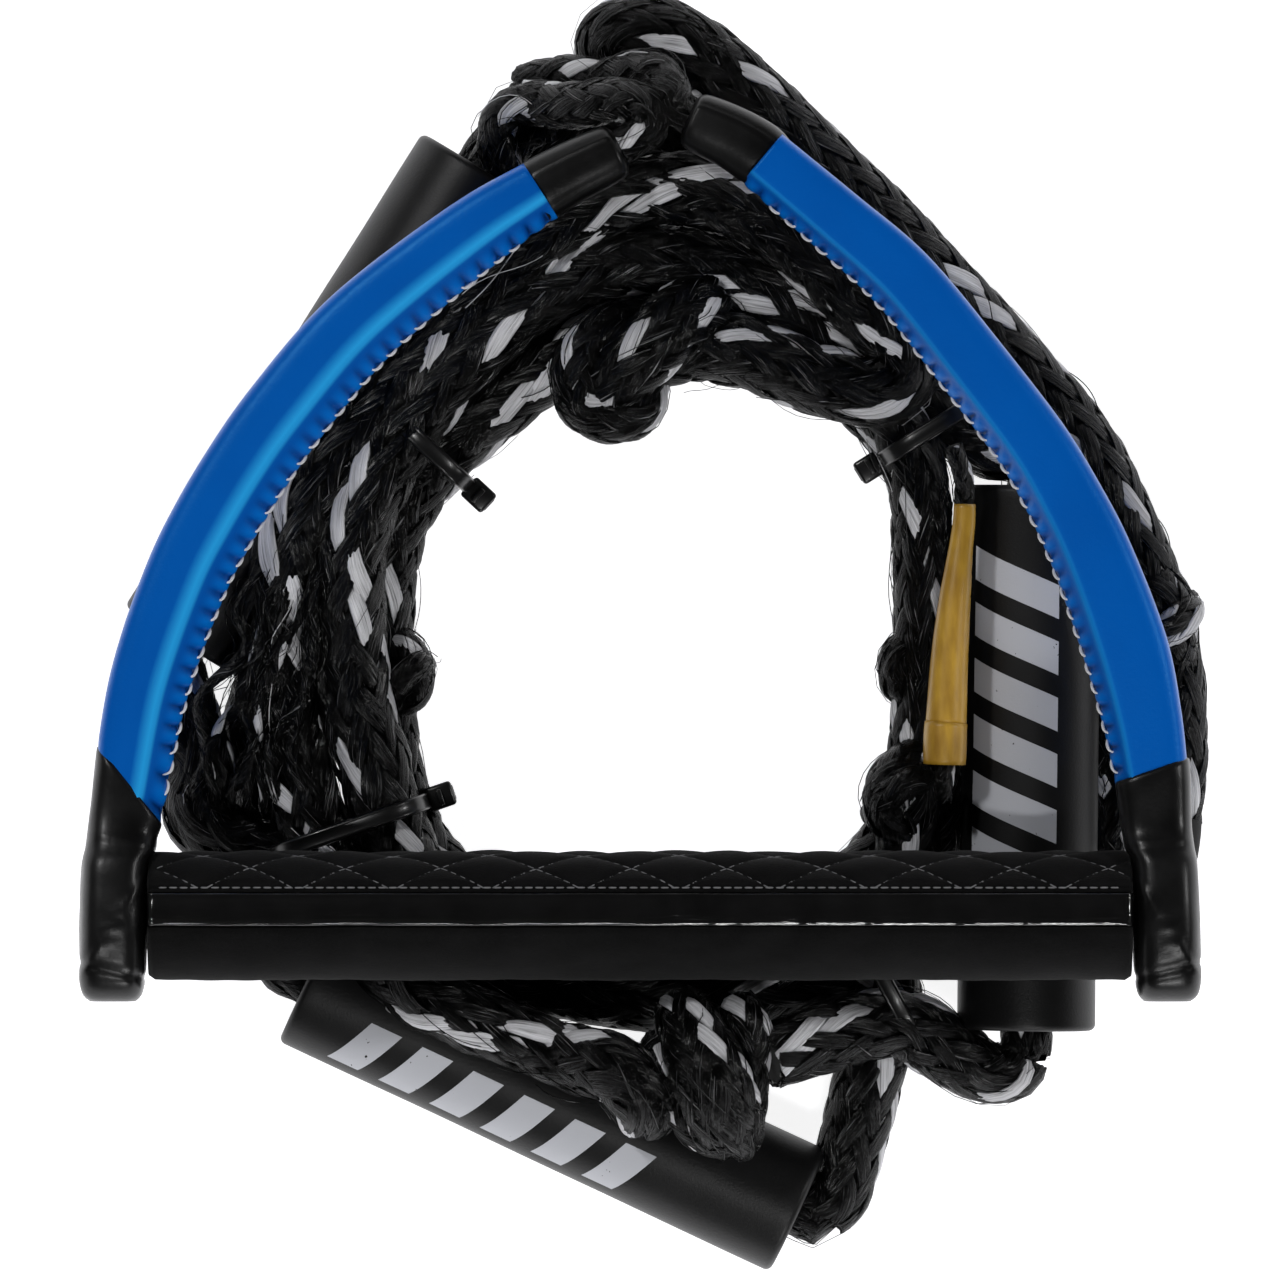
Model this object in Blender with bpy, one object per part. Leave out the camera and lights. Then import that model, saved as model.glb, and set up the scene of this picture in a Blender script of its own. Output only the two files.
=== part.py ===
"""Tow rope handle with its rope bundled: a padded grip bar between two curved, covered
arms, lying on a ring of braided rope that carries three foam floats.

+X runs along the grip bar, +Y from the bar to the tips of the arms, +Z up. The origin is
under the middle of the handle and floats, on the surface that everything lies on.
"""

import math

import bmesh
import bpy
from mathutils import Matrix, Vector

MM = 0.001
GAP = 0.4  # between pieces that touch, in millimetres like every size below

# Grip bar, along X
BAR_Y, BAR_Z = -59.2, 53.5
GRIP_RADIUS = 16.2
PAD_RADIUS = 16.7
GRIP_INNER_RADIUS = 14.7
GRIP_HALF_LENGTH = 126.0
BAR_TUBE_RADIUS, BAR_TUBE_WALL = 11.1, 1.6
BAR_TUBE_HALF_LENGTH = 123.6
BUSH_BORE = 5.2
BUSH_FLANGE_RADIUS, BUSH_FLANGE = 14.0, 2.0
PAD_ARC = (-70, 63)
STRIP_ARC = (65, 97)
COVER_ARC = (99, 288)

# Arms: centre line in plan with the width there, from the bar end to the tip
ARM_DEPTH = 18.0
ARM_TIP_Z = 57.0
COVER_WALL = 1.2
FOAM_BORE = 5.2
BRIDLE_RADIUS = 4.0
LEFT_ARM = [
    (-131.0, -25.5, 18.6), (-126.0, 1.0, 20.4), (-117.0, 27.0, 21.0), (-109.0, 43.0, 21.4),
    (-99.0, 59.3, 21.5), (-90.0, 71.5, 21.4), (-76.0, 88.3, 21.2), (-62.4, 100.8, 20.2),
    (-41.5, 117.0, 18.2), (-25.6, 127.3, 15.8),
]
RIGHT_ARM = [
    (131.3, -22.0, 18.6), (129.0, -8.0, 20.0), (124.3, 11.0, 21.4), (116.3, 33.0, 20.6),
    (108.8, 48.5, 19.4), (99.9, 63.3, 18.6), (83.8, 84.4, 18.2), (67.5, 104.3, 17.6),
    (51.0, 119.0, 16.6), (31.4, 135.5, 15.6),
]
LEFT_TIP = [(-24.5, 128.0, 16.2), (-18.0, 131.6, 15.6), (-9.0, 136.0, 14.4), (-5.0, 138.1, 11.0)]
RIGHT_TIP = [(30.0, 136.9, 16.4), (24.0, 140.6, 15.8), (17.0, 143.8, 15.0), (12.2, 145.8, 11.0)]
TIP_DEPTH = 14.5
# The handle swings up about a level axis through this point, where its tips meet the leaders
PIVOT = (0.0, 141.5, 57.0)

# End boots, down from the arm and round the bar end: y, centre x, width, depth
BOOT = [
    (-35.0, 133.2, 17.4, 22.0), (-41.0, 135.0, 16.4, 27.0), (-50.0, 135.2, 16.6, 32.0),
    (-59.2, 135.2, 16.8, 33.0), (-69.0, 135.2, 16.6, 32.0), (-76.0, 135.0, 15.8, 26.0),
    (-80.0, 134.6, 12.0, 16.0),
]

# Floats: the two ends of the axis in plan, and the radius
FLOAT_BORE = 7.4
FLOAT_CHAMFER = 1.6
FLOAT_ROPE_RADIUS = 6.6
FLOATS = [
    ((-41.5, 134.0), (-118.6, 11.3), 17.75),
    ((101.8, 52.0), (100.0, -89.0), 18.0),
    ((-86.2, -76.1), (40.9, -135.9), 17.5),
]

# Rope bundle: inner point of the ring, direction outward in degrees, width and height there
STATIONS = [
    (-57.0, -30.0, 181, 56, 34), (-58.5, 0.0, 180, 46, 40), (-58.5, 28.0, 172, 40, 44),
    (-51.0, 49.0, 145, 31, 50), (-36.0, 60.0, 128, 34, 50), (-18.0, 69.0, 112, 40, 46),
    (4.0, 75.0, 92, 56, 42), (28.0, 76.0, 72, 50, 40), (50.0, 69.0, 50, 38, 40),
    (63.0, 58.0, 32, 26, 38), (68.0, 44.0, 8, 14.6, 34), (68.0, 14.0, 0, 14.6, 34),
    (67.5, -18.0, -3, 14.6, 34), (62.0, -40.0, -25, 20, 35), (48.0, -50.0, -62, 44, 35),
    (20.0, -53.0, -88, 40, 35), (-12.0, -52.0, -92, 34, 35), (-38.0, -48.0, -105, 28, 35),
    (-53.0, -40.0, -160, 46, 35),
]
BUNDLE_EDGE = 5.0
# Parts of the ring between its ties, by station: first, last
BUNDLES = {
    "rope_bundle_left": (-1, 4),
    "rope_bundle_top": (4, 9),
    "rope_bundle_right": (9, 13),
    "rope_bundle_bottom": (13, 18),
}

# Knots: centre, radii, turn about Z in degrees
KNOTS = {
    "bridle_knot": ((-35.0, 154.5, 22.0), (12.5, 10.0, 13.0), 15),
    "top_knot": ((-8.0, 76.5, 42.0), (14.0, 12.0, 12.0), 35),
    "double_knot_left": ((-2.0, -103.0, 43.0), (8.6, 12.0, 10.0), 10),
    "double_knot_right": ((20.2, -100.0, 43.0), (12.5, 21.0, 12.0), 4),
    "outer_knot": ((137.0, 18.0, 10.5), (10.0, 12.0, 9.5), 20),
    "left_knot": ((-58.2, 4.0, 27.0), (4.5, 9.0, 9.0), 0),
    "right_knot_upper": ((66.0, 6.0, 27.0), (4.0, 8.0, 8.0), 0),
    "right_knot_lower": ((65.5, -28.0, 33.0), (7.5, 10.0, 8.5), -20),
}

# Ropes that lie outside the bundle, as routes
LEADER_RADIUS = 4.5
OUTER_RADIUS = 6.0
LABEL_CORD_RADIUS = 2.6
LEADER_LEFT = [
    (-4.2, 138.6, 57.0), (-1.6, 140.6, 57.0), (0.4, 144.4, 56.5), (-1.4, 149.0, 54.5),
    (-5.5, 151.4, 51.0), (-11.0, 152.0, 46.0), (-17.0, 153.4, 39.5), (-22.0, 154.6, 33.0),
]
LEADER_RIGHT = [
    (9.6, 148.5, 56.0), (8.9, 152.2, 53.8), (8.4, 156.0, 49.5), (4.0, 160.5, 43.0),
    (-3.5, 162.0, 36.0), (-11.0, 162.0, 30.0), (-20.4, 160.0, 25.0),
]
OUTER_START = [
    (30.0, 146.0, 12.0), (18.0, 151.5, 10.0), (6.0, 155.0, 9.0), (-4.0, 157.5, 9.0),
]
OUTER_RUN = [
    (-6.0, 170.0, 25.0), (2.0, 173.5, 26.0), (13.0, 169.0, 26.5), (31.0, 154.5, 25.0),
    (49.0, 138.0, 21.0), (67.0, 120.0, 15.0), (85.5, 100.0, 9.0), (103.5, 80.5, 7.0),
    (118.5, 62.5, 6.5), (129.0, 40.5, 6.5), (134.0, 31.0, 7.0),
]
OUTER_END = [(138.5, 5.0, 7.0), (140.5, -8.0, 7.0), (141.0, -22.0, 7.0), (139.5, -36.0, 7.0)]
END_CAP = [(139.3, -36.9, 7.0), (137.5, -47.0, 7.0)]
FLOAT_ROPES = [
    [(-37.7, 140.1, 18.0)],
    [(-121.9, 6.0, 17.75), (-124.0, -1.0, 17.5), (-124.0, -9.0, 17.0)],
    [(94.0, 66.5, 18.0), (100.0, 62.0, 18.0), (102.0, 56.5, 18.0)],
    [(99.9, -93.0, 17.6), (97.5, -99.0, 16.5), (90.0, -101.0, 15.5), (76.6, -96.5, 15.0)],
    [(-98.0, -64.0, 17.5), (-95.5, -71.0, 17.5), (-91.0, -74.2, 17.5)],
    [
        (46.8, -138.0, 17.3), (52.6, -134.0, 17.0), (56.5, -122.0, 16.5),
        (60.0, -108.0, 16.0), (61.4, -97.0, 16.0),
    ],
]
LABEL_CORD = [
    (80.5, 62.0, 44.5), (83.4, 54.0, 43.0), (83.4, 45.4, 40.8), (81.0, 13.0, 40.6),
    (78.6, -19.6, 40.5), (78.0, -30.0, 40.0),
]
LABEL_RADIUS, LABEL_WALL = 5.5, 1.4

# Cable ties: middle of the strap's ring, its direction outward, half sizes, side of the head
TIE_WIDTH, TIE_THICK = 4.4, 1.3
TIE_HEAD = (7.6, 6.0, 6.8)
TIES = {
    "tie_upper_left": ((-53.0, 60.0, 36.4), 137, (11.5, 15.0), -1),
    "tie_upper_right": ((77.0, 67.4, 22.0), 32, (12.0, 17.2), -1),
    "tie_lower_left": ((-78.6, -33.0, 18.5), 186, (20.5, 16.8), -1),
    "tie_lower_right": ((61.2, -72.6, 18.0), -62, (20.5, 16.2), 0),
}


# ---- helpers ---------------------------------------------------------------------------


def clear_scene():
    for old in list(bpy.data.objects):
        bpy.data.objects.remove(old)


def material(name, colour, roughness, metallic=0.0):
    made = bpy.data.materials.new(name)
    made.use_nodes = True
    shader = made.node_tree.nodes["Principled BSDF"]
    shader.inputs["Base Color"].default_value = (*colour, 1)
    shader.inputs["Roughness"].default_value = roughness
    shader.inputs["Metallic"].default_value = metallic
    return made


def smooth(points, per_span):
    """Points on a Catmull-Rom curve through the given ones, whatever their number of values."""
    ends = [2 * Vector(points[0]) - Vector(points[1])]
    last = [2 * Vector(points[-1]) - Vector(points[-2])]
    held = ends + [Vector(p) for p in points] + last
    made = []
    for i in range(1, len(held) - 2):
        before, start, end, after = held[i - 1 : i + 3]
        for step in range(per_span):
            t = step / per_span
            made.append(
                0.5
                * (
                    2 * start
                    + (end - before) * t
                    + (2 * before - 5 * start + 4 * end - after) * t**2
                    + (3 * start - before - 3 * end + after) * t**3
                )
            )
    return made + [Vector(points[-1])]


def add_object(name, mesh_maker, finish):
    """A new object whose mesh mesh_maker fills, from millimetres, with its normals outward."""
    bm = bmesh.new()
    mesh_maker(bm)
    bmesh.ops.scale(bm, vec=(MM, MM, MM), verts=bm.verts)
    bmesh.ops.recalc_face_normals(bm, faces=bm.faces)
    mesh = bpy.data.meshes.new(name)
    bm.to_mesh(mesh)
    bm.free()
    mesh.shade_smooth()
    mesh.set_sharp_from_angle(angle=math.radians(35))
    made = bpy.data.objects.new(name, mesh)
    mesh.materials.append(finish)
    bpy.context.scene.collection.objects.link(made)
    return made


def bridge(bm, first, second):
    """Quads between two rings with as many corners each."""
    count = len(first)
    for i in range(count):
        j = (i + 1) % count
        bm.faces.new((first[i], first[j], second[j], second[i]))


def loft(name, rings, finish):
    """A closed solid through rings of points, with flat ends."""

    def fill(bm):
        made = [[bm.verts.new(p) for p in ring] for ring in rings]
        for first, second in zip(made, made[1:]):
            bridge(bm, first, second)
        bm.faces.new(made[0])
        bm.faces.new(made[-1])

    return add_object(name, fill, finish)


def sleeve(name, outer, inner, finish):
    """A tube, open at both ends, between outer and inner rings."""

    def fill(bm):
        out = [[bm.verts.new(p) for p in ring] for ring in outer]
        into = [[bm.verts.new(p) for p in ring] for ring in inner]
        for rings in (out, into):
            for first, second in zip(rings, rings[1:]):
                bridge(bm, first, second)
        bridge(bm, out[0], into[0])
        bridge(bm, out[-1], into[-1])

    return add_object(name, fill, finish)


def oval(centre, side, up, half_width, half_depth, count, power=2.0):
    """Points round an ellipse, or round a fuller shape where power is over 2."""
    made = []
    for i in range(count):
        turn = 2 * math.pi * i / count
        c, s = math.cos(turn), math.sin(turn)
        across = half_width * math.copysign(abs(c) ** (2 / power), c)
        high = half_depth * math.copysign(abs(s) ** (2 / power), s)
        made.append(centre + side * across + up * high)
    return made


def sides_of(path):
    """At each point of a level path, the level direction to its right."""
    made = []
    for i in range(len(path)):
        along = path[min(i + 1, len(path) - 1)] - path[max(i - 1, 0)]
        made.append(Vector((along.y, -along.x, 0)).normalized())
    return made


def rope(name, route, radius, finish, per_span=4, resolution=2):
    """A cord: a round tube on a smooth curve through the route's points."""
    curve = bpy.data.curves.new(name, "CURVE")
    curve.dimensions = "3D"
    curve.bevel_depth = radius * MM
    curve.bevel_resolution = resolution
    curve.use_fill_caps = True
    points = smooth(route, per_span)
    spline = curve.splines.new("POLY")
    spline.points.add(len(points) - 1)
    for held, point in zip(spline.points, points):
        held.co = (*(point * MM), 1)
    curve.materials.append(finish)
    made = bpy.data.objects.new(name, curve)
    bpy.context.scene.collection.objects.link(made)
    return made


def cut(target, cutter):
    cutter.hide_render = True
    cutter.display_type = "WIRE"
    step = target.modifiers.new("cut_" + cutter.name, "BOOLEAN")
    step.operation = "DIFFERENCE"
    step.object = cutter


def join(target, other):
    other.hide_render = True
    other.display_type = "WIRE"
    step = target.modifiers.new("join_" + other.name, "BOOLEAN")
    step.operation = "UNION"
    step.object = other


def turned(name, low, high, profile, finish, segments=28):
    """A closed ring: profile (distance along the axis, radius) points turned about it."""
    axis = (high - low).normalized()
    side = Vector((axis.y, -axis.x, 0)).normalized()
    up = side.cross(axis)

    def fill(bm):
        loops = []
        for i in range(segments):
            turn = 2 * math.pi * (i + 0.5) / segments
            out = side * math.sin(turn) + up * math.cos(turn)
            loops.append([bm.verts.new(low + axis * d + out * r) for d, r in profile])
        for first, second in zip(loops, loops[1:] + loops[:1]):
            bridge(bm, first, second)

    return add_object(name, fill, finish)


def block(name, centre, side, along, sizes, finish):
    """A box with its first size along side, its second along the second direction."""
    up = side.cross(along)

    def fill(bm):
        bmesh.ops.create_cube(bm, size=1)
        turn = Matrix((side * sizes[0], along * sizes[1], up * sizes[2])).transposed()
        for vert in bm.verts:
            vert.co = centre + turn @ vert.co

    return add_object(name, fill, finish)


def hang(pivot, names):
    """Makes the named objects turn with the pivot, without moving them."""
    for name in names:
        child = bpy.data.objects[name]
        child.parent = pivot
        child.matrix_parent_inverse = Matrix.Translation(-pivot.location)


def set_origin(made, x, y, z):
    """Puts the object's origin on its joint's axis and leaves its shape where it is."""
    place = Vector((x, y, z)) * MM
    made.data.transform(Matrix.Translation(-place))
    made.location = place


# ---- handle ----------------------------------------------------------------------------


def handle_height(y):
    """The handle leans a little: its tips lie higher than its bar."""
    share = (y - BAR_Y) / (LEFT_TIP[-1][1] - BAR_Y)
    return BAR_Z + (ARM_TIP_Z - BAR_Z) * max(0, min(1, share))


def arm_rings(outline, depth, inset, count, per_span, power):
    """Rings along an arm whose outline gives its centre line and width."""
    read = smooth([(x, y, w) for x, y, w in outline], per_span)
    path = [Vector((p.x, p.y, handle_height(p.y))) for p in read]
    rings = []
    for centre, side, values in zip(path, sides_of(path), read):
        half = values.z / 2 - inset
        rings.append(
            oval(centre, side, Vector((0, 0, 1)), half, depth / 2 - inset, count, power)
        )
    return path, rings


def round_rings(path, radius, count):
    up = Vector((0, 0, 1))
    return [oval(at, side, up, radius, radius, count) for at, side in zip(path, sides_of(path))]


def build_arm(side_name, outline, tip_outline):
    count = 14
    path, skin = arm_rings(outline, ARM_DEPTH, 0, count, 1, 2.6)
    _, under = arm_rings(outline, ARM_DEPTH, COVER_WALL, count, 1, 2.6)
    _, foam = arm_rings(outline, ARM_DEPTH, COVER_WALL + GAP, count, 1, 2.6)
    sleeve("arm_cover_" + side_name, skin, under, BLUE_LEATHER)
    sleeve("arm_foam_" + side_name, foam, round_rings(path, FOAM_BORE, count), FOAM)
    tip_path, tip = arm_rings(tip_outline, TIP_DEPTH, 0, count, 2, 2.3)
    sleeve("arm_tip_" + side_name, tip, round_rings(tip_path, 4.6, count), RUBBER)


def build_boot(side_name, way, outline):
    """way is -1 on the left and 1 on the right."""
    up = Vector((0, 0, 1))
    across = Vector((way, 0, 0))
    x, y, width = outline[0]
    along = Vector((x - outline[1][0], y - outline[1][1], 0)).normalized()
    top = Vector((x, y, handle_height(y))) + along * GAP
    side = Vector((-along.y, along.x, 0)) * way
    rings = [oval(top, side, up, width / 2 + 0.3, ARM_DEPTH / 2 + 0.3, 16, 2.6)]
    for y, x, width, depth in BOOT:
        centre = Vector((x * way, y, BAR_Z))
        rings.append(oval(centre, across, up, width / 2, depth / 2, 16, 2.6))
    boot = loft("end_boot_" + side_name, rings, RUBBER)
    route = bridle_side(way, outline)[-10:-2]
    channel = rope("boot_channel_" + side_name, route, BRIDLE_RADIUS + 0.8, RUBBER, 3)
    mesh = bpy.data.meshes.new_from_object(channel)
    bpy.data.objects.remove(channel)
    cutter = bpy.data.objects.new("boot_cutter_" + side_name, mesh)
    bpy.context.scene.collection.objects.link(cutter)
    cut(boot, cutter)


def bridle_side(way, outline):
    """The bridle rope's route on one side, from the tip of the arm into the bar."""
    tip = LEFT_TIP if way < 0 else RIGHT_TIP
    arm = [(x, y, handle_height(y)) for x, y, _ in reversed(outline)]
    ends = [(x, y, handle_height(y)) for x, y, _ in (tip[-1], tip[1])]
    corner = [
        (132.6 * way, -35.0, BAR_Z), (134.0 * way, -46.0, BAR_Z), (132.6 * way, -54.8, BAR_Z),
        (127.0 * way, BAR_Y, BAR_Z), (117.0 * way, BAR_Y, BAR_Z),
        (104.0 * way, BAR_Y, BAR_Z), (80.0 * way, BAR_Y, BAR_Z), (35.0 * way, BAR_Y, BAR_Z),
    ]
    return ends + arm + corner


def build_bridle():
    left = bridle_side(-1, LEFT_ARM)
    right = bridle_side(1, RIGHT_ARM)
    rope("bridle_rope", left + right[::-1], BRIDLE_RADIUS, ROPE, 2)


def arc_ring(x, start, end, inner, outer, steps):
    """The outline at x of a curved strip round the bar, from one angle to another."""
    made = []
    for radius, order in ((outer, range(steps + 1)), (inner, range(steps, -1, -1))):
        for i in order:
            turn = math.radians(start + (end - start) * i / steps)
            y = BAR_Y + radius * math.cos(turn)
            made.append(Vector((x, y, BAR_Z + radius * math.sin(turn))))
    return made


def bar_strip(name, arc, outer, steps, finish):
    half = GRIP_HALF_LENGTH
    rings = [
        arc_ring(x, *arc, GRIP_INNER_RADIUS, outer, steps) for x in (-half, 0, half)
    ]
    made = loft(name, rings, finish)
    set_origin(made, 0, BAR_Y, BAR_Z)


def build_bar():
    low, high = Vector((-BAR_TUBE_HALF_LENGTH, BAR_Y, BAR_Z)), Vector((0, BAR_Y, BAR_Z))
    length = 2 * BAR_TUBE_HALF_LENGTH
    bore = BAR_TUBE_RADIUS - BAR_TUBE_WALL
    wall = [(0, bore), (0, BAR_TUBE_RADIUS), (length, BAR_TUBE_RADIUS), (length, bore)]
    set_origin(turned("bar_tube", low, high, wall, ALUMINIUM), 0, BAR_Y, BAR_Z)
    foam_in, foam_out = BAR_TUBE_RADIUS + GAP, GRIP_INNER_RADIUS - GAP
    foam = [(0, foam_in), (0, foam_out), (length, foam_out), (length, foam_in)]
    set_origin(turned("bar_foam", low, high, foam, FOAM), 0, BAR_Y, BAR_Z)
    bar_strip("palm_pad", PAD_ARC, PAD_RADIUS, 14, SUEDE)
    bar_strip("seam_strip", STRIP_ARC, GRIP_RADIUS, 4, GLOSS)
    bar_strip("grip_cover", COVER_ARC, GRIP_RADIUS, 18, SUEDE)
    plug = bore - GAP
    for name, way in (("bar_bush_left", -1), ("bar_bush_right", 1)):
        face = Vector(((BAR_TUBE_HALF_LENGTH + GAP) * way, BAR_Y, BAR_Z))
        outward = face + Vector((way, 0, 0))
        profile = [
            (-12, BUSH_BORE), (-12, plug), (0, plug), (0, BUSH_FLANGE_RADIUS),
            (BUSH_FLANGE, BUSH_FLANGE_RADIUS), (BUSH_FLANGE, BUSH_BORE),
        ]
        set_origin(turned(name, face, outward, profile, PLASTIC), 0, BAR_Y, BAR_Z)


# ---- floats ----------------------------------------------------------------------------


def float_ends(index):
    (ax, ay), (bx, by), radius = FLOATS[index]
    return Vector((ax, ay, radius)), Vector((bx, by, radius)), radius


def build_float(index):
    start, end, radius = float_ends(index)
    length = (end - start).length
    edge = FLOAT_CHAMFER
    profile = [
        (0, FLOAT_BORE), (0, radius - edge), (edge, radius), (length - edge, radius),
        (length, radius - edge), (length, FLOAT_BORE),
    ]
    made = turned(f"float_{index + 1}", start, end, profile, EVA, 32)
    set_origin(made, *((start + end) / 2))
    before, after = FLOAT_ROPES[2 * index : 2 * index + 2]
    through = [tuple(start.lerp(end, t)) for t in (0, 0.25, 0.5, 0.75, 1)]
    route = before + through + after
    rope(f"float_rope_{index + 1}", route, FLOAT_ROPE_RADIUS, ROPE, 2)


def float_cutter(index):
    start, end, radius = float_ends(index)
    along = (end - start).normalized()
    reach = (end - start).length + 1
    side = Vector((along.y, -along.x, 0))
    up = Vector((0, 0, 1))
    first = start - along * 0.5
    rings = [
        oval(first + along * d, side, up, radius + 0.6, radius + 0.6, 32) for d in (0, reach)
    ]
    return loft(f"float_cutter_{index + 1}", rings, EVA)


# ---- rope bundle -----------------------------------------------------------------------


def bundle_ring(x, y, angle, width, height):
    out = Vector((math.cos(math.radians(angle)), math.sin(math.radians(angle)), 0))
    edge = BUNDLE_EDGE
    outline = [
        (edge, 0), (width - edge, 0), (width, edge), (width, height - edge),
        (width - edge, height), (edge, height), (0, height - edge), (0, edge),
    ]
    return [Vector((x, y, 0)) + out * u + Vector((0, 0, z)) for u, z in outline]


def between(first, second, share):
    """The values between two stations, turning the shorter way round."""
    turn = (second[2] - first[2] + 180) % 360 - 180
    mixed = [a + (b - a) * share for a, b in zip(first, second)]
    mixed[2] = first[2] + turn * share
    return mixed


def build_bundle(name, first, last):
    rings = []
    count = len(STATIONS)
    for index in range(first, last):
        here, there = STATIONS[index % count], STATIONS[(index + 1) % count]
        start = 0.012 if index == first else 0.0
        for share in (start, 0.5):
            rings.append(bundle_ring(*between(here, there, share)))
    here, there = STATIONS[(last - 1) % count], STATIONS[last % count]
    rings.append(bundle_ring(*between(here, there, 0.988)))
    return loft(name, rings, ROPE)


def build_knot(name, centre, radii, turn, grow=0.0):
    def fill(bm):
        bmesh.ops.create_uvsphere(bm, u_segments=14, v_segments=9, radius=1)
        spin = Matrix.Rotation(math.radians(turn), 3, "Z")
        for vert in bm.verts:
            scaled = Vector([vert.co[i] * (radii[i] + grow) for i in range(3)])
            vert.co = Vector(centre) + spin @ scaled

    return add_object(name, fill, ROPE)


def build_tie(name, centre, angle, halves, head_side, grow=0.0):
    """A strap bent into an upright ring round the rope, with its head on one side."""
    out = Vector((math.cos(math.radians(angle)), math.sin(math.radians(angle)), 0))
    up = Vector((0, 0, 1))
    along = up.cross(out)
    middle = Vector(centre)
    half_width = TIE_WIDTH / 2 + grow
    half_u, half_v = halves

    def fill(bm):
        loops = []
        for across, swell in (
            (-half_width, TIE_THICK + grow), (half_width, TIE_THICK + grow),
            (half_width, -grow), (-half_width, -grow),
        ):
            ring = oval(
                middle + along * across, out, up, half_u + swell, half_v + swell, 20, 3.2
            )
            loops.append([bm.verts.new(p) for p in ring])
        for first, second in zip(loops, loops[1:] + loops[:1]):
            bridge(bm, first, second)

    made = add_object(name, fill, PLASTIC)
    if head_side:
        long, wide, high = (size + 2 * grow for size in TIE_HEAD)
        reach = half_u + TIE_THICK + TIE_HEAD[0] / 2 - 1.0
        place = middle + out * head_side * reach
        join(made, block(name + "_head", place, out, along, (long, wide, high), PLASTIC))
    return made


def build_rope_ring():
    bundles = {name: build_bundle(name, *span) for name, span in BUNDLES.items()}
    upper_float = float_cutter(0)
    for name in ("rope_bundle_left", "rope_bundle_top"):
        cut(bundles[name], upper_float)
    cut(bundles["rope_bundle_bottom"], float_cutter(2))
    near = {
        "top_knot": ("rope_bundle_top",),
        "double_knot_right": ("rope_bundle_bottom",),
        "left_knot": ("rope_bundle_left",),
        "right_knot_upper": ("rope_bundle_right",),
        "right_knot_lower": ("rope_bundle_right",),
    }
    for name, (centre, radii, turn) in KNOTS.items():
        build_knot(name, centre, radii, turn)
        for bundle in near.get(name, ()):
            clear = build_knot(f"{name}_clear_{bundle}", centre, radii, turn, 0.6)
            cut(bundles[bundle], clear)
    held = {
        "tie_upper_left": ("rope_bundle_left", "rope_bundle_top"),
        "tie_upper_right": ("rope_bundle_top", "rope_bundle_right"),
        "tie_lower_left": ("rope_bundle_left",),
        "tie_lower_right": ("rope_bundle_bottom",),
    }
    for name, values in TIES.items():
        build_tie(name, *values)
        for bundle in held[name]:
            centre, angle, halves, side = values
            clear = build_tie(f"{name}_clear_{bundle}", centre, angle, halves, side, 0.5)
            cut(bundles[bundle], clear)


def build_loose_ropes():
    rope("leader_left", LEADER_LEFT, LEADER_RADIUS, ROPE, 3)
    rope("leader_right", LEADER_RIGHT, LEADER_RADIUS, ROPE, 3)
    rope("outer_rope_start", OUTER_START, OUTER_RADIUS, ROPE, 2)
    rope("outer_rope_run", OUTER_RUN, OUTER_RADIUS, ROPE, 3)
    rope("outer_rope_end", OUTER_END, OUTER_RADIUS, ROPE, 3)
    rope("rope_end_cap", END_CAP, OUTER_RADIUS + 0.6, RUBBER, 2)
    rope("label_cord", LABEL_CORD, LABEL_CORD_RADIUS, ROPE, 3)


def build_label():
    low, high = (Vector(LABEL_CORD[i]) for i in (4, 2))
    length = (high - low).length
    hole = LABEL_RADIUS - LABEL_WALL
    profile = [(0, hole), (0, LABEL_RADIUS), (length, LABEL_RADIUS), (length, hole)]
    turned("label_sleeve", low, high, profile, YELLOW, 16)


clear_scene()
BLUE_LEATHER = material("blue_leather", (0.0, 0.075, 0.4), 0.32)
RUBBER = material("black_rubber", (0.018, 0.018, 0.02), 0.45)
FOAM = material("core_foam", (0.12, 0.12, 0.13), 0.9)
SUEDE = material("black_suede", (0.014, 0.014, 0.014), 0.85)
GLOSS = material("glossy_seam", (0.012, 0.012, 0.013), 0.2)
EVA = material("black_eva", (0.022, 0.022, 0.024), 0.5)
ROPE = material("braided_rope", (0.015, 0.015, 0.016), 0.6)
ALUMINIUM = material("aluminium", (0.8, 0.8, 0.82), 0.3, 1.0)
PLASTIC = material("black_plastic", (0.015, 0.015, 0.015), 0.35)
YELLOW = material("yellow_label", (0.55, 0.36, 0.03), 0.5)

build_bar()
build_bridle()
for side_name, way, outline, tip_outline in (
    ("left", -1, LEFT_ARM, LEFT_TIP), ("right", 1, RIGHT_ARM, RIGHT_TIP),
):
    build_arm(side_name, outline, tip_outline)
    build_boot(side_name, way, outline)
handle_pivot = bpy.data.objects.new("handle_pivot", None)
handle_pivot.location = Vector(PIVOT) * MM
bpy.context.scene.collection.objects.link(handle_pivot)
hang(handle_pivot, [o.name for o in bpy.data.objects if o != handle_pivot])
for float_index in range(len(FLOATS)):
    build_float(float_index)
build_rope_ring()
build_loose_ropes()
build_label()
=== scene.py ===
"""The look of the tow rope handle: braided rope, quilted grip, laced arms, foam floats.

Every size is in millimetres until MM turns it into metres, in the same frame as the CAD.
"""

import math
import random

import bpy
import numpy as np
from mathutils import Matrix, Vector, noise


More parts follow.
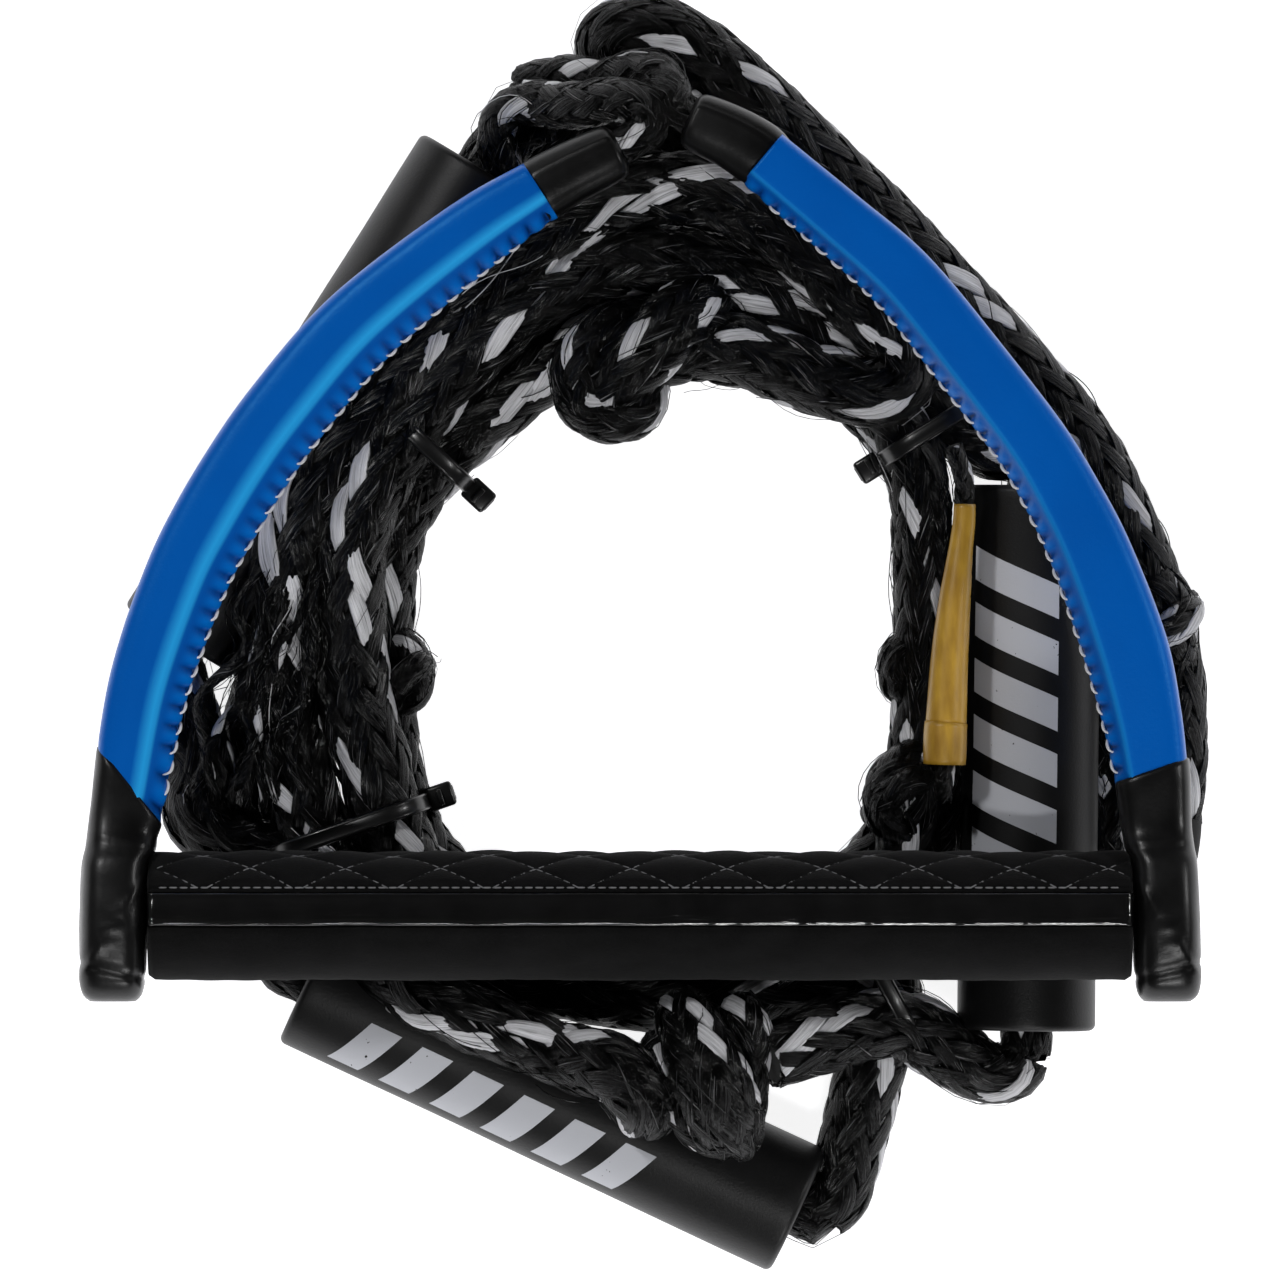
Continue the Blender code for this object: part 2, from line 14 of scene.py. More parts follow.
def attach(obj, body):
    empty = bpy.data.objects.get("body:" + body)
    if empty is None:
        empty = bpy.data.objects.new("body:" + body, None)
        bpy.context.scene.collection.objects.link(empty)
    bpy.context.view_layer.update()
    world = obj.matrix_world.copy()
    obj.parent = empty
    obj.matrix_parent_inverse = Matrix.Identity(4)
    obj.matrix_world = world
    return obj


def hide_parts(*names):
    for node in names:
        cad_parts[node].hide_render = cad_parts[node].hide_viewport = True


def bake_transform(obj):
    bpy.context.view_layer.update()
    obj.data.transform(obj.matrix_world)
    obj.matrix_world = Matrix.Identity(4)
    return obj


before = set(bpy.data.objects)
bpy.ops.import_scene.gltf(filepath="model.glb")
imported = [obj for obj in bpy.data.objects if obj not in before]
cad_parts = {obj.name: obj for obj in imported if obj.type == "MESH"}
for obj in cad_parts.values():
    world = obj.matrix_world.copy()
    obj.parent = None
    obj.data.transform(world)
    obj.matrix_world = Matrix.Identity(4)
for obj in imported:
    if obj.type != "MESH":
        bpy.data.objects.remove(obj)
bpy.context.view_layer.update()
MM = 0.001
UP = np.array([0.0, 0.0, 1.0])
scene = bpy.context.scene


def new_object(name, data):
    made = bpy.data.objects.new(name, data)
    scene.collection.objects.link(made)
    return made


# ---- camera, light and floor ----

VIEW_WIDTH = 0.3284
VIEW_HEIGHT = 0.0535  # the level at which the view is that wide
camera = bpy.data.cameras.new("camera")
camera.lens, camera.sensor_width = 400, 36
camera.clip_start, camera.clip_end = 0.1, 30
scene.camera = new_object("camera", camera)
far = VIEW_WIDTH / 2 / (camera.sensor_width / 2 / camera.lens)
scene.camera.location = (0, 0.012, VIEW_HEIGHT + far)


def lamp(name, place, size, power, size_y=None):
    data = bpy.data.lights.new(name, "AREA")
    data.energy, data.size = power, size
    if size_y:
        data.shape, data.size_y = "RECTANGLE", size_y
    made = new_object(name, data)
    made.location = place
    toward = Vector((0, 0, 0.03)) - Vector(place)
    made.rotation_euler = toward.to_track_quat("-Z", "Y").to_euler()
    made.visible_camera = False


lamp("key", (-0.75, 0.8, 1.3), 0.16, 8.6)
lamp("front", (0.25, -1.3, 0.8), 0.5, 6.5, size_y=0.12)
lamp("side", (1.3, 0.3, 0.9), 0.16, 5)
lamp("over", (0.05, -0.85, 1.9), 0.4, 8.5, size_y=0.1)
world = scene.world = bpy.data.worlds.new("studio")
world.use_nodes = True
sky = world.node_tree
direction = sky.nodes.new("ShaderNodeTexCoord")
split = sky.nodes.new("ShaderNodeSeparateXYZ")
level = sky.nodes.new("ShaderNodeValToRGB")
level.color_ramp.elements.new(0.5)
for element, (at, value) in zip(level.color_ramp.elements, ((0.02, 0.8), (0.16, 0.08), (1.0, 0.035))):
    element.position, element.color = at, (value, value, value, 1)
sky.links.new(direction.outputs["Generated"], split.inputs[0])
sky.links.new(split.outputs[2], level.inputs[0])
sky.links.new(level.outputs[0], sky.nodes["Background"].inputs["Color"])
scene.view_settings.view_transform = "Standard"


# ---- helpers ----


def smooth_path(points, step=0.0015):
    """Evenly spaced points on a Catmull-Rom curve; extra values beyond x, y, z go along."""
    p = np.array(points, float)
    p = np.vstack([2 * p[0] - p[1], p, 2 * p[-1] - p[-2]])
    dense = []
    for a, b, c, d in zip(p, p[1:], p[2:], p[3:]):
        t = np.linspace(0, 1, 24, endpoint=False)[:, None]
        dense.append(
            0.5 * (2 * b + (c - a) * t + (2 * a - 5 * b + 4 * c - d) * t**2 + (3 * b - a - 3 * c + d) * t**3)
        )
    dense = np.vstack(dense + [p[-2][None]])
    run = np.concatenate([[0], np.cumsum(np.linalg.norm(np.diff(dense[:, :3], axis=0), axis=1))])
    count = max(8, int(run[-1] / step))
    at = np.linspace(0, run[-1], count)
    return np.stack([np.interp(at, run, dense[:, i]) for i in range(dense.shape[1])], 1), run[-1]


def unit(v):
    return v / np.maximum(np.linalg.norm(v, axis=-1, keepdims=True), 1e-9)


def full_turn(count):
    return np.linspace(0, 2 * math.pi, count, endpoint=False)


def along_line(at, run, values):
    """Vectors at distances along a line, from those at run."""
    return np.stack([np.interp(at, run, values[:, i]) for i in range(3)], -1)


def frames_along(path, level):
    """(side, up) at each point. Level frames keep side horizontal; others only turn as little
    as the path makes them."""
    along = unit(np.gradient(path, axis=0))
    if level:
        side = unit(np.cross(along, UP))
        return side, np.cross(side, along)
    side = np.zeros_like(path)
    start = UP if abs(along[0][2]) < 0.9 else np.array([1.0, 0, 0])
    side[0] = unit(np.cross(along[0], start))
    for i in range(1, len(path)):
        side[i] = unit(side[i - 1] - along[i] * np.dot(side[i - 1], along[i]))
    return side, np.cross(side, along)


def add_mesh(name, verts, faces, finish, indices=None, fibre=None):
    mesh = bpy.data.meshes.new(name)
    mesh.from_pydata(np.asarray(verts, float).tolist(), [], [list(f) for f in faces])
    for m in finish if isinstance(finish, list) else [finish]:
        mesh.materials.append(m.material)
    if indices is not None:
        mesh.polygons.foreach_set("material_index", np.asarray(indices, np.int32))
    if fibre is not None:
        made = mesh.attributes.new("fibre", "FLOAT_VECTOR", "POINT")
        made.data.foreach_set("vector", np.asarray(fibre, np.float32).ravel())
    mesh.polygons.foreach_set("use_smooth", [True] * len(mesh.polygons))
    mesh.update()
    return new_object(name, mesh)


def ring_faces(rings, count, start=0, wrapped=False):
    """Quads between successive rings of count points, and a face at each end; when wrapped,
    quads from the last ring round to the first instead."""
    i, j = np.divmod(np.arange((rings if wrapped else rings - 1) * count), count)
    after, k = (i + 1) % rings, (j + 1) % count
    quads = np.stack([i * count + j, i * count + k, after * count + k, after * count + j], 1)
    faces = (quads + start).tolist()
    if not wrapped:
        faces.append([start + c for c in range(count)][::-1])
        faces.append([start + (rings - 1) * count + c for c in range(count)])
    return faces


def round_rings(line, side, up, turn, radius):
    """Rings of points about a line, at each angle of turn."""
    ring = side[:, None] * np.cos(turn)[:, None] + up[:, None] * np.sin(turn)[:, None]
    return (line[:, None] + ring * radius[:, None, None]).reshape(-1, 3)


def tube(name, points, radius, finish, around):
    """A round tube on a smooth curve through points, with radii spread evenly along it."""
    path, _ = smooth_path(np.array(points, float) * MM, 0.001)
    side, up = frames_along(path, True)
    size = np.interp(np.linspace(0, 1, len(path)), np.linspace(0, 1, len(radius)), radius) * MM
    verts = round_rings(path, side, up, full_turn(around), size)
    return add_mesh(name, verts, ring_faces(len(path), around), finish)


def wobble(values, seed, length):
    """Smooth values within about -1..1 along a coordinate, different for each seed."""
    turn = 2 * math.pi * values / length
    return 0.45 * (np.sin(turn + seed * 1.7) + np.sin(turn * 1.93 + seed * 2.9 + 1))


# ---- materials ----


class Nodes:
    """A material's node tree, with short ways to add to it."""

    def __init__(self, name, roughness, specular=0.5, **values):
        self.material = bpy.data.materials.new(name)
        self.material.use_nodes = True
        self.tree = self.material.node_tree
        self.shader = self.tree.nodes["Principled BSDF"]
        values.update(Roughness=roughness, Specular_IOR_Level=specular)
        for key, value in values.items():
            self.shader.inputs[key.replace("_", " ")].default_value = value

    def add(self, kind, inputs=(), **settings):
        node = self.tree.nodes.new(kind)
        for key, value in settings.items():
            setattr(node, key, value)
        for key, value in dict(inputs).items():
            if isinstance(value, bpy.types.NodeSocket):
                self.tree.links.new(value, node.inputs[key])
            else:
                node.inputs[key].default_value = value
        return node

    def math(self, operation, a, b=0.0, clamp=False):
        return self.add("ShaderNodeMath", {0: a, 1: b}, operation=operation, use_clamp=clamp).outputs[0]

    def place(self, scale=(1, 1, 1), attribute=None):
        """Object coordinates in metres, or an attribute, times scale."""
        if attribute:
            source = self.add("ShaderNodeAttribute", attribute_name=attribute).outputs["Vector"]
        else:
            source = self.add("ShaderNodeTexCoord").outputs["Object"]
        return self.add("ShaderNodeMapping", {"Vector": source, "Scale": scale}).outputs[0]

    def noise(self, place, scale, detail=2.0, rough=0.5):
        return self.add(
            "ShaderNodeTexNoise", {"Vector": place, "Scale": scale, "Detail": detail, "Roughness": rough}
        ).outputs["Fac"]

    def ramp(self, value, stops):
        """Colours along a value; a colour that is one number is a grey, a touch cold."""
        node = self.add("ShaderNodeValToRGB", {"Fac": value})
        elements = node.color_ramp.elements
        while len(elements) < len(stops):
            elements.new(0.5)
        for element, (at, colour) in zip(elements, stops):
            if isinstance(colour, float):
                colour = (colour, colour, colour * 1.04)
            element.position, element.color = at, (*colour, 1)
        return node.outputs["Color"]

    def mix(self, share, a, b):
        node = self.add("ShaderNodeMix", {"Factor": share}, data_type="RGBA")
        for index, value in ((6, a), (7, b)):
            if isinstance(value, bpy.types.NodeSocket):
                self.tree.links.new(value, node.inputs[index])
            else:
                node.inputs[index].default_value = (*value, 1)
        return node.outputs[2]

    def link(self, value, name):
        self.tree.links.new(value, self.shader.inputs[name])

    def bump(self, height, strength, distance):
        inputs = {"Height": height, "Strength": strength, "Distance": distance}
        self.link(self.add("ShaderNodeBump", inputs).outputs[0], "Normal")

    def grain(self, scale, strength, distance, detail=4.0, stretch=(1, 1, 1)):
        """Fine bumps all over; returns their height."""
        height = self.noise(self.place(stretch), scale, detail, 0.6)
        self.bump(height, strength, distance)
        return height

    def mottle(self, low, high, scale, detail=3.0, ends=(0.3, 0.8), stretch=(1, 1, 1)):
        """A base colour that wanders between two."""
        spread = self.noise(self.place(stretch), scale, detail)
        self.link(self.ramp(spread, list(zip(ends, (low, high)))), "Base Color")


def fibre_material(name, stops, roughness, depth=0.0004):
    """Bundled filaments: streaks along the strand, fine across it; where the stops run up to a pale grey, as
    on the black fibre, the pale streaks are painted highlights of the filaments.
    """
    n = Nodes(name, roughness, 0.28)
    streak_and_glint = n.noise(n.place((6.5, 60, 31), "fibre"), 1.0, 3.0, 0.75)
    broad = n.noise(n.place((1.0, 110, 11), "fibre"), 1.0, 1.0)
    both = n.math("ADD", n.math("MULTIPLY", streak_and_glint, 0.78), n.math("MULTIPLY", broad, 0.22))
    n.link(n.ramp(both, stops), "Base Color")
    fine = n.noise(n.place((9, 45, 31), "fibre"), 1.0, 2.0, 0.7)
    n.bump(fine, 1.0, depth)
    return n


# the last stop, 0.26, paints the filaments' highlights as pale streaks on the black fibre
BLACK_FIBRE = fibre_material(
    "rope_black_fibre", [(0.46, 0.0003), (0.56, 0.001), (0.61, 0.014), (0.68, 0.26)], 0.2, 0.001
)
WHITE_FIBRE = fibre_material("rope_white_fibre", [(0.36, 0.2), (0.46, 0.52), (0.62, 0.76)], 0.42)
CORE = Nodes("rope_core", 0.8)
CORE.mottle(0.001, 0.005, 900, ends=(0.35, 0.7))


# ---- braided rope ----

ROPE_RADIUS = 9.0
ROPE_PITCH = 148.0
STRANDS = 24
MOST_RINGS = 355  # keeps the longest rope under 200,000 triangles
# one strand's section, across and up, as three bundles of filaments side by side
YARN = np.array([
    (-1, -0.5), (-0.84, 0.3), (-0.56, 0.42), (-0.36, 0.3), (0.04, 0.66),
    (0.4, 0.32), (0.66, 0.42), (0.9, 0.2), (1, -0.5), (0, -0.75),
])


def braid_parts(
    points, tracers=(0, 1), seed=0, strands=STRANDS, pitch=ROPE_PITCH, level=True, loose=1.0, hair=120
):
    """A hollow braid on a smooth curve through (x, y, z, radius) points: half of the strands
    wind each way, and each passes over two others and then under two. Loose filaments stand off
    it, hair of them for each metre. Returns (verts, faces, materials, fibre), its path and its
    length."""
    route = np.array([list(p) + [ROPE_RADIUS] * (4 - len(p)) for p in points], float) * MM
    path, length = smooth_path(route)
    centre, size = path[:, :3], path[:, 3]
    side, up = frames_along(centre, level)
    run = np.linspace(0, length, len(path))
    pitch = pitch * MM
    hands = strands // 2
    middle = float(np.median(size))
    thick = 0.115 * middle * (16 / strands) ** 0.5
    at = np.arange(0, length, max(pitch / (3.3 * strands), length / MOST_RINGS))
    verts, faces, which, fibre = [], [], [], []
    rng = random.Random(seed)
    slope = math.atan(2 * math.pi * middle / pitch)

    def surface(where, turn, radius):
        where = np.clip(where, 0, length)
        spot, n, b = (along_line(where, run, values) for values in (centre, side, up))
        return spot + (n * np.cos(turn)[..., None] + b * np.sin(turn)[..., None]) * radius[..., None]

    # dark core under the strands
    turn = full_turn(16)
    rows = np.repeat(at[:, None], 16, 1)
    skin = np.interp(rows, run, size) - thick * 2.0
    verts.append(surface(rows, np.repeat(turn[None], len(at), 0), skin).reshape(-1, 3))
    made = ring_faces(len(at), 16)
    faces += made
    which += [2] * len(made)
    fibre.append(np.zeros((len(at) * 16, 3)))
    total = len(at) * 16

    for hand in (1, -1):
        for k in range(hands):
            mark = rng.random()
            phase = 2 * math.pi * k / hands
            shift = wobble(at, rng.uniform(0, 9), 0.06) * 0.07 * loose
            angle = phase + hand * 2 * math.pi * at / pitch + shift
            order = 2 * k + hand * 2 * hands * at / pitch
            over = hand * np.tanh(1.6 * np.cos(2 * math.pi * (order - 0.5) / 4)) / math.tanh(1.6)
            radius = np.interp(at, run, size)
            gap = 2 * math.pi * radius / hands * math.cos(slope)
            half = gap / 2 * (0.98 + 0.16 * over) * (1 + 0.15 * loose * wobble(at, rng.uniform(0, 9), 0.05))
            lift = radius - thick * 0.9 + thick * 0.75 * over
            lift = lift + 0.0003 * loose * wobble(at, rng.uniform(0, 9), 0.035)
            across = YARN[None, :, 0] * half[:, None]
            where = at[:, None] - hand * math.sin(slope) * across
            turned = angle[:, None] + math.cos(slope) * across / radius[:, None]
            high = lift[:, None] + YARN[None, :, 1] * thick
            verts.append(surface(where, turned, high).reshape(-1, 3))
            made = ring_faces(len(at), len(YARN), total)
            faces += made
            white = hand == 1 and k in tracers
            which += [1 if white else 0] * len(made)
            along = np.repeat(at[:, None], len(YARN), 1)
            lane = np.repeat(YARN[None, :, 0], len(at), 0)
            fibre.append(np.stack([lane, along, np.full_like(along, mark * 9)], -1).reshape(-1, 3))
            total += len(at) * len(YARN)

    for _ in range(int(hair * length)):
        reach = rng.uniform(0.012, 0.034)
        first = rng.uniform(0, max(length - reach, 0.001))
        spots = np.linspace(first, min(first + reach, length), 9)
        share = np.linspace(0, 1, 9)
        hand = rng.choice((1, -1))
        angle = rng.uniform(0, 6.3) + hand * 2 * math.pi * (spots - first) / pitch * rng.uniform(0.2, 1.3)
        angle = angle + rng.uniform(-0.25, 0.25) * np.sin(share * math.pi * rng.uniform(1, 2.5))
        stand = rng.uniform(0.0003, 0.0016) * (0.4 + 0.6 * loose)
        lift = np.interp(spots, run, size) + stand * np.sin(share * math.pi * rng.choice((1, 1, 0.6)))
        line = surface(spots, angle, lift)
        ahead = unit(np.gradient(line, axis=0))
        lateral = unit(np.cross(ahead, UP + 0.03))
        raised = np.cross(lateral, ahead)
        radius = rng.uniform(0.00009, 0.00019)
        for c in (0, 2.1, 4.2):
            verts.append(line + (lateral * math.cos(c) + raised * math.sin(c)) * radius)
        grid = [[total + c * 9 + i for c in range(3)] for i in range(9)]
        for a, b in zip(grid, grid[1:]):
            faces += [[a[c], a[(c + 1) % 3], b[(c + 1) % 3], b[c]] for c in range(3)]
        which += [1 if rng.random() < 0.03 else 0] * 24
        fibre.append(np.tile(np.stack([np.full(9, 0.1), spots, np.full(9, rng.random() * 9)], 1), (3, 1)))
        total += 27
    return (np.vstack(verts), faces, which, np.vstack(fibre)), centre, length


def merge_parts(name, parts):
    """One object out of several braids; each part is (verts, faces, materials, fibre)."""
    start, faces = 0, []
    for verts, own, _, _ in parts:
        faces += [[v + start for v in face] for face in own]
        start += len(verts)
    which = [m for part in parts for m in part[2]]
    return add_mesh(
        name, np.vstack([part[0] for part in parts]), faces, [BLACK_FIBRE, WHITE_FIBRE, CORE], which,
        np.vstack([part[3] for part in parts]),
    )


def lay_rope(
    name, points, lay, far_end, nodes=(), tracers=(0, 1), seed=0, with_pieces=(), diameter=0.018, **more
):
    """A braided cord, hiding the nodes it stands for; the pieces that lie on it (with_pieces) are not used.
    """
    parts, path, length = braid_parts(points, tracers, seed, **more)
    obj = merge_parts(name, [parts])
    if nodes:
        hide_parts(*nodes)
    return obj


TURN_A = [
    (-3, -101, 41, 7.5), (-16, -96.5, 41, 8), (-31, -90.5, 40.5, 8.3), (-47, -84, 39.5, 8.3),
    (-60, -78, 34.6, 8), (-72, -66, 26.8, 8.6), (-80, -52, 25, 9.3), (-86, -33, 25, 9.8),
    (-91, -12, 27, 10.2), (-92.5, 10, 31, 10.2), (-90, 34, 36, 9.8), (-82, 56, 39.5, 9.2), (-66, 75, 41, 9),
    (-50, 92, 40.5), (-34, 109, 40), (-17, 121, 40), (0, 127.5, 40), (15, 128, 40), (31, 122, 39),
    (45, 110.5, 38.5), (58, 98, 38), (67.5, 88, 37, 8.5), (68.5, 79, 37, 8), (60, 75.5, 38, 8.5),
    (46, 79, 38.5), (30, 85, 39), (14, 88, 39), (2, 85, 39),
]
TURN_B = [
    (-8, -62, 25.2), (-36, -61.5, 25.2), (-54, -55, 25.2, 9), (-63, -40, 27, 9.4), (-69, -20, 30.5, 9.6),
    (-73.5, -3, 33, 9.8), (-75, 16, 36, 9.8), (-74.5, 35, 39, 9.4), (-68, 53, 42), (-56, 72, 42),
    (-43, 87.5, 40), (-28, 99.5, 38), (-10, 108.5, 36), (10, 109.5, 35), (28, 103.5, 33), (43, 92.5, 30),
    (55, 80.5, 27.5), (65, 69, 26.5, 8.5), (71.5, 54, 26, 7.8), (73, 33, 25.5, 7.4), (73, 12, 25, 7.4),
    (72.5, -8, 25, 7.4), (70, -28, 25.5, 8), (62, -46, 25.6), (44, -58, 25.2), (22, -60, 25), (2, -58, 20),
    (-14, -58, 13), (-31, -59, 9.6), (-49, -51.5, 10.5), (-60, -38, 13.5), (-65.5, -20, 17), (-67.5, 0, 19),
    (-67.5, 17, 21), (-66, 34, 24), (-59, 51, 28), (-45, 66, 32), (-30, 78, 33), (-16, 88.5, 30),
    (-1, 94.5, 25), (14, 96, 21), (29, 93.5, 19), (44, 86, 17.5), (56, 77, 15.5, 8.6), (66, 65.5, 12, 8),
    (72, 53, 9.6, 7.8), (73, 35, 9, 7.4), (73, 12, 9, 7.4), (72.5, -8, 9, 7.4), (70, -28, 9, 7.8),
    (62, -46, 9.6), (44, -58, 9.6), (22, -63, 9.6), (0, -64, 9.6),
]
TURN_E = [
    (58, -74, 9.4), (38, -79, 9.4), (15, -82, 9.4), (-10, -79, 9.4), (-34, -73.5, 9.4), (-60, -60, 9.4),
    (-80, -48, 9.4), (-93, -35, 9.4), (-99, -22, 9.6), (-99.5, -9, 9.6), (-93.5, 4, 10), (-86, 16, 10),
    (-78, 28, 10), (-70, 40, 10), (-60, 56, 10), (-49, 74, 10), (-34, 95, 10), (-14, 111, 10),
    (8, 117.5, 10), (30, 111, 11), (50, 97, 12), (68, 80, 14), (83, 68, 16.5, 9.4), (93, 63.5, 18, 9.4),
    (100.6, 61.5, 18, 7.6), (101.8, 52, 18, 6.4), (101, -10, 18, 6.4), (100, -89, 18, 6.4),
    (99.3, -94.5, 17.6, 7), (96, -99.5, 17.6, 8), (88, -99.5, 18.5, 8.4), (78, -93, 20.5), (68, -87.5, 24),
    (56, -88, 29), (45, -91.5, 34), (33, -96, 39, 8),
]
TURN_F1 = [
    (-30, 146.5, 21, 7), (-36, 142.6, 19, 6.6), (-41.5, 134, 17.75, 6.4), (-80, 72.7, 17.75, 6.4),
    (-118.6, 11.3, 17.75, 6.4), (-120, 4, 18.4, 8), (-119.5, -4, 19.5, 9.4), (-117, -13, 21, 9.6),
    (-114, -23, 22.5, 9.4), (-114, -33, 22.5), (-106, -40.5, 22), (-93, -42.5, 20.5), (-78, -44, 18),
    (-62, -50, 14), (-48, -60, 11),
]
TURN_F3 = [
    (-78, -50, 14), (-92, -55, 16.5, 8), (-97.5, -62, 17.5, 7.2), (-93.5, -71, 17.5, 6.6),
    (-86.2, -76.1, 17.5, 6.4), (-22, -106, 17.5, 6.4), (40.9, -135.9, 17.5, 6.4), (46.5, -137, 17.5, 7),
    (51.5, -131.5, 17.5, 8), (54, -122, 17.5, 8.6), (57, -110, 18), (60, -98, 18.5), (63, -88, 17),
    (64, -78, 14), (60, -68, 12),
]
OUTER = [
    (34, 143.5, 13, 7), (18, 151, 10.5, 7.6), (5, 154.5, 10, 7.8), (-5, 158.5, 12, 7.8),
    (-9, 165.5, 18.5, 7.8), (-5.5, 170.5, 25, 7.8), (3, 171, 27.5, 8), (14, 165.5, 27.5, 8.3),
    (30, 152, 25.5, 8.5), (47, 136, 21.5, 8.5), (65, 118, 16), (83, 99, 11.5), (101, 79.5, 9.6),
    (115.5, 61.5, 9.4), (126, 41, 9.2, 8.8), (132, 29, 9.5, 8), (136.5, 18, 9.8, 7), (138.5, 5, 8.6, 7.6),
    (139.5, -8, 8.6, 7.8), (139.5, -22, 8.4, 7.6), (138.5, -36, 8, 7),
]
LEADER_LEFT = [
    (-17, 132.2, 57, 4.2), (-6.5, 137.6, 57, 4.6), (-1.6, 140.6, 57, 4.8), (2.4, 143.4, 57, 5.2),
    (0.6, 148.8, 56, 5.4), (-6, 150.8, 53, 5.6), (-14, 149.6, 48, 5.9), (-22, 149.6, 41, 6),
    (-30, 150.5, 34, 5.6),
]
LEADER_RIGHT = [
    (21, 142.2, 57, 4.2), (12.6, 145.8, 57, 4.4), (9.6, 148.5, 56, 4.6), (8.9, 152.2, 53.8, 4.8),
    (5.5, 157.5, 49, 5), (0, 158.5, 43, 5), (-10, 157.5, 35, 5), (-20.4, 158, 28, 5), (-30, 156, 23, 5),
]

KNOT_PITCH = 11.5  # of a knot's braids, times their radius
# each knot is braids that cross: points (x, y, z, radius), white strands, strand count
KNOTS = {
    "top_knot": (
        ([(4, 92, 36, 7), (-2, 93, 40, 6.4), (-9, 91.5, 44, 6.4), (-14.2, 86, 46, 6.8), (-15.8, 79, 47, 7),
          (-14, 72.5, 47, 7), (-8, 69.6, 47, 6.8), (-1.5, 70.2, 46, 6.4), (1.2, 76, 42, 6), (0, 83, 36, 6)],
         (2, 3, 7), 20),
        ([(-12, 70, 38, 6), (-8.5, 75, 45.5, 7.4), (-3, 81.5, 50, 8.6), (4.5, 89, 50, 9.2),
          (11.5, 95.5, 46, 9), (18, 99, 40, 8)], (1, 4, 5, 6, 9), 24),
    ),
    "double_knot_left": (
        ([(-22, -93.5, 40, 7.4), (-14, -95.5, 45, 8.2), (-6.5, -98, 48, 8.8), (-1, -103.5, 48, 8.8),
          (0.5, -108.5, 44, 7.6), (-0.5, -110, 38, 6.6)], (3, 4, 8), 22),
        ([(6, -92, 40, 5), (2.8, -97, 46, 5.4), (3.4, -104, 49, 5.4), (4.4, -110, 46, 5),
          (3, -113, 40, 4.4)], (1,), 16),
    ),
    "double_knot_right": (
        ([(10.5, -83, 40, 7), (12.5, -88, 46, 8.4), (15.5, -95, 50, 9.8), (18.6, -102.5, 51.5, 10.4),
          (21.5, -109.5, 49, 9.8), (24, -114.5, 44, 8), (24.5, -116.5, 38, 6)], (2, 3, 8), 26),
        ([(13, -86, 40, 4.6), (10.6, -94, 44, 4.8), (10.2, -103, 46, 4.8), (12.4, -110.5, 47, 4.8),
          (17, -115.4, 47, 4.8), (22.6, -116, 46, 4.8), (27, -111.5, 45, 4.8), (28.4, -104, 44, 4.8),
          (27.4, -96, 42, 4.8), (25, -88, 39, 4.6)], (5,), 16),
        ([(24, -82, 37, 6), (27.5, -88, 40, 6.4), (27.5, -96, 40, 6.4), (24, -103, 38, 6)], (2, 3), 18),
    ),
    "outer_knot": (
        ([(129.5, 31, 8, 6), (133.5, 26.5, 11.5, 6.4), (136.6, 22, 14, 6.6), (137.8, 17, 14.6, 6.4),
          (138.2, 12, 13.2, 6.4), (138.4, 6, 9, 6)], (2, 5), 16),
        ([(128.5, 13.5, 9, 4), (132, 12.6, 16, 4.4), (136.5, 14, 19.5, 4.8), (141, 18, 17, 4.6),
          (142.4, 21, 9, 4.2)], (0, 1, 2, 3, 4, 5), 12),
        ([(131, 16, 7, 4.6), (126, 6, 6.4, 5), (122.5, -6, 6, 5), (121.6, -25, 6, 5), (121.6, -46, 6, 4.8),
          (121.6, -60, 6, 4.4)], (3,), 14),
    ),
    "left_knot": (
        ([(-66, 13, 22, 4), (-60.4, 10, 26.5, 4.4), (-57.6, 4.6, 28, 4.6), (-58.4, -1.5, 27, 4.4),
          (-64, -6, 22, 4)], (1,), 14),
        ([(-63, 0, 32, 3.4), (-58, 5, 33, 3.6), (-55.6, 5.4, 27, 3.4)], (), 12),
    ),
    "right_knot_upper": (
        ([(72, 12, 22, 3.8), (67.2, 10, 27, 4), (65.4, 5, 28.5, 4), (66.6, 0, 27.5, 4), (71, -3, 22, 3.8)],
         (1,), 14),
        ([(82, 78, 14, 6), (87.5, 70, 12, 7.4), (88.5, 62, 10, 7.4), (87, 56, 9, 6.4)], (2,), 20),
        ([(83, 66, 12, 6), (90, 60.5, 11, 6.4), (99, 59.8, 11, 6.4), (108, 59, 10, 5.6)], (), 16),
    ),
    "right_knot_lower": (
        ([(73, -17, 28, 4.8), (67, -20.5, 33.5, 5.2), (63, -26.5, 35.5, 5.4), (63.4, -33, 34, 5.2),
          (68, -38, 29, 5)], (2,), 16),
        ([(60.5, -33, 30, 3.6), (63.5, -29, 38.5, 4), (68.5, -24.5, 40, 4), (73, -23, 34, 3.8)], (), 14),
        ([(74, -8, 17, 5), (77.5, -18, 17, 6.4), (78.5, -30, 17, 6.6), (76, -42, 17, 6.6), (70, -52, 17, 6)],
         (3,), 20),
    ),
    "bridle_knot": (
        ([(-22, 149.5, 40, 5.6), (-29, 150.5, 38, 5.4), (-34.6, 149, 36, 5), (-37, 143.5, 33, 5),
          (-36, 137, 30, 5.4), (-35, 130, 26, 5.6)], (1, 2), 14),
        ([(-46, 120, 22, 6), (-41, 130, 24, 6.6), (-34, 139.5, 26, 6.6), (-26, 146, 27, 6.2),
          (-16, 148.5, 28, 5.8)], (3,), 18),
        ([(-30, 156, 20, 5), (-24, 153, 28, 5), (-19, 147, 34, 5), (-21, 141, 30, 5)], (), 14),
        ([(-40, 129, 16, 7), (-27, 140, 15, 8), (-9, 143.5, 14, 8), (8, 142, 14, 8), (22, 137.5, 14, 8),
          (34, 130, 16, 7)], (1, 2), 22),
    ),
}


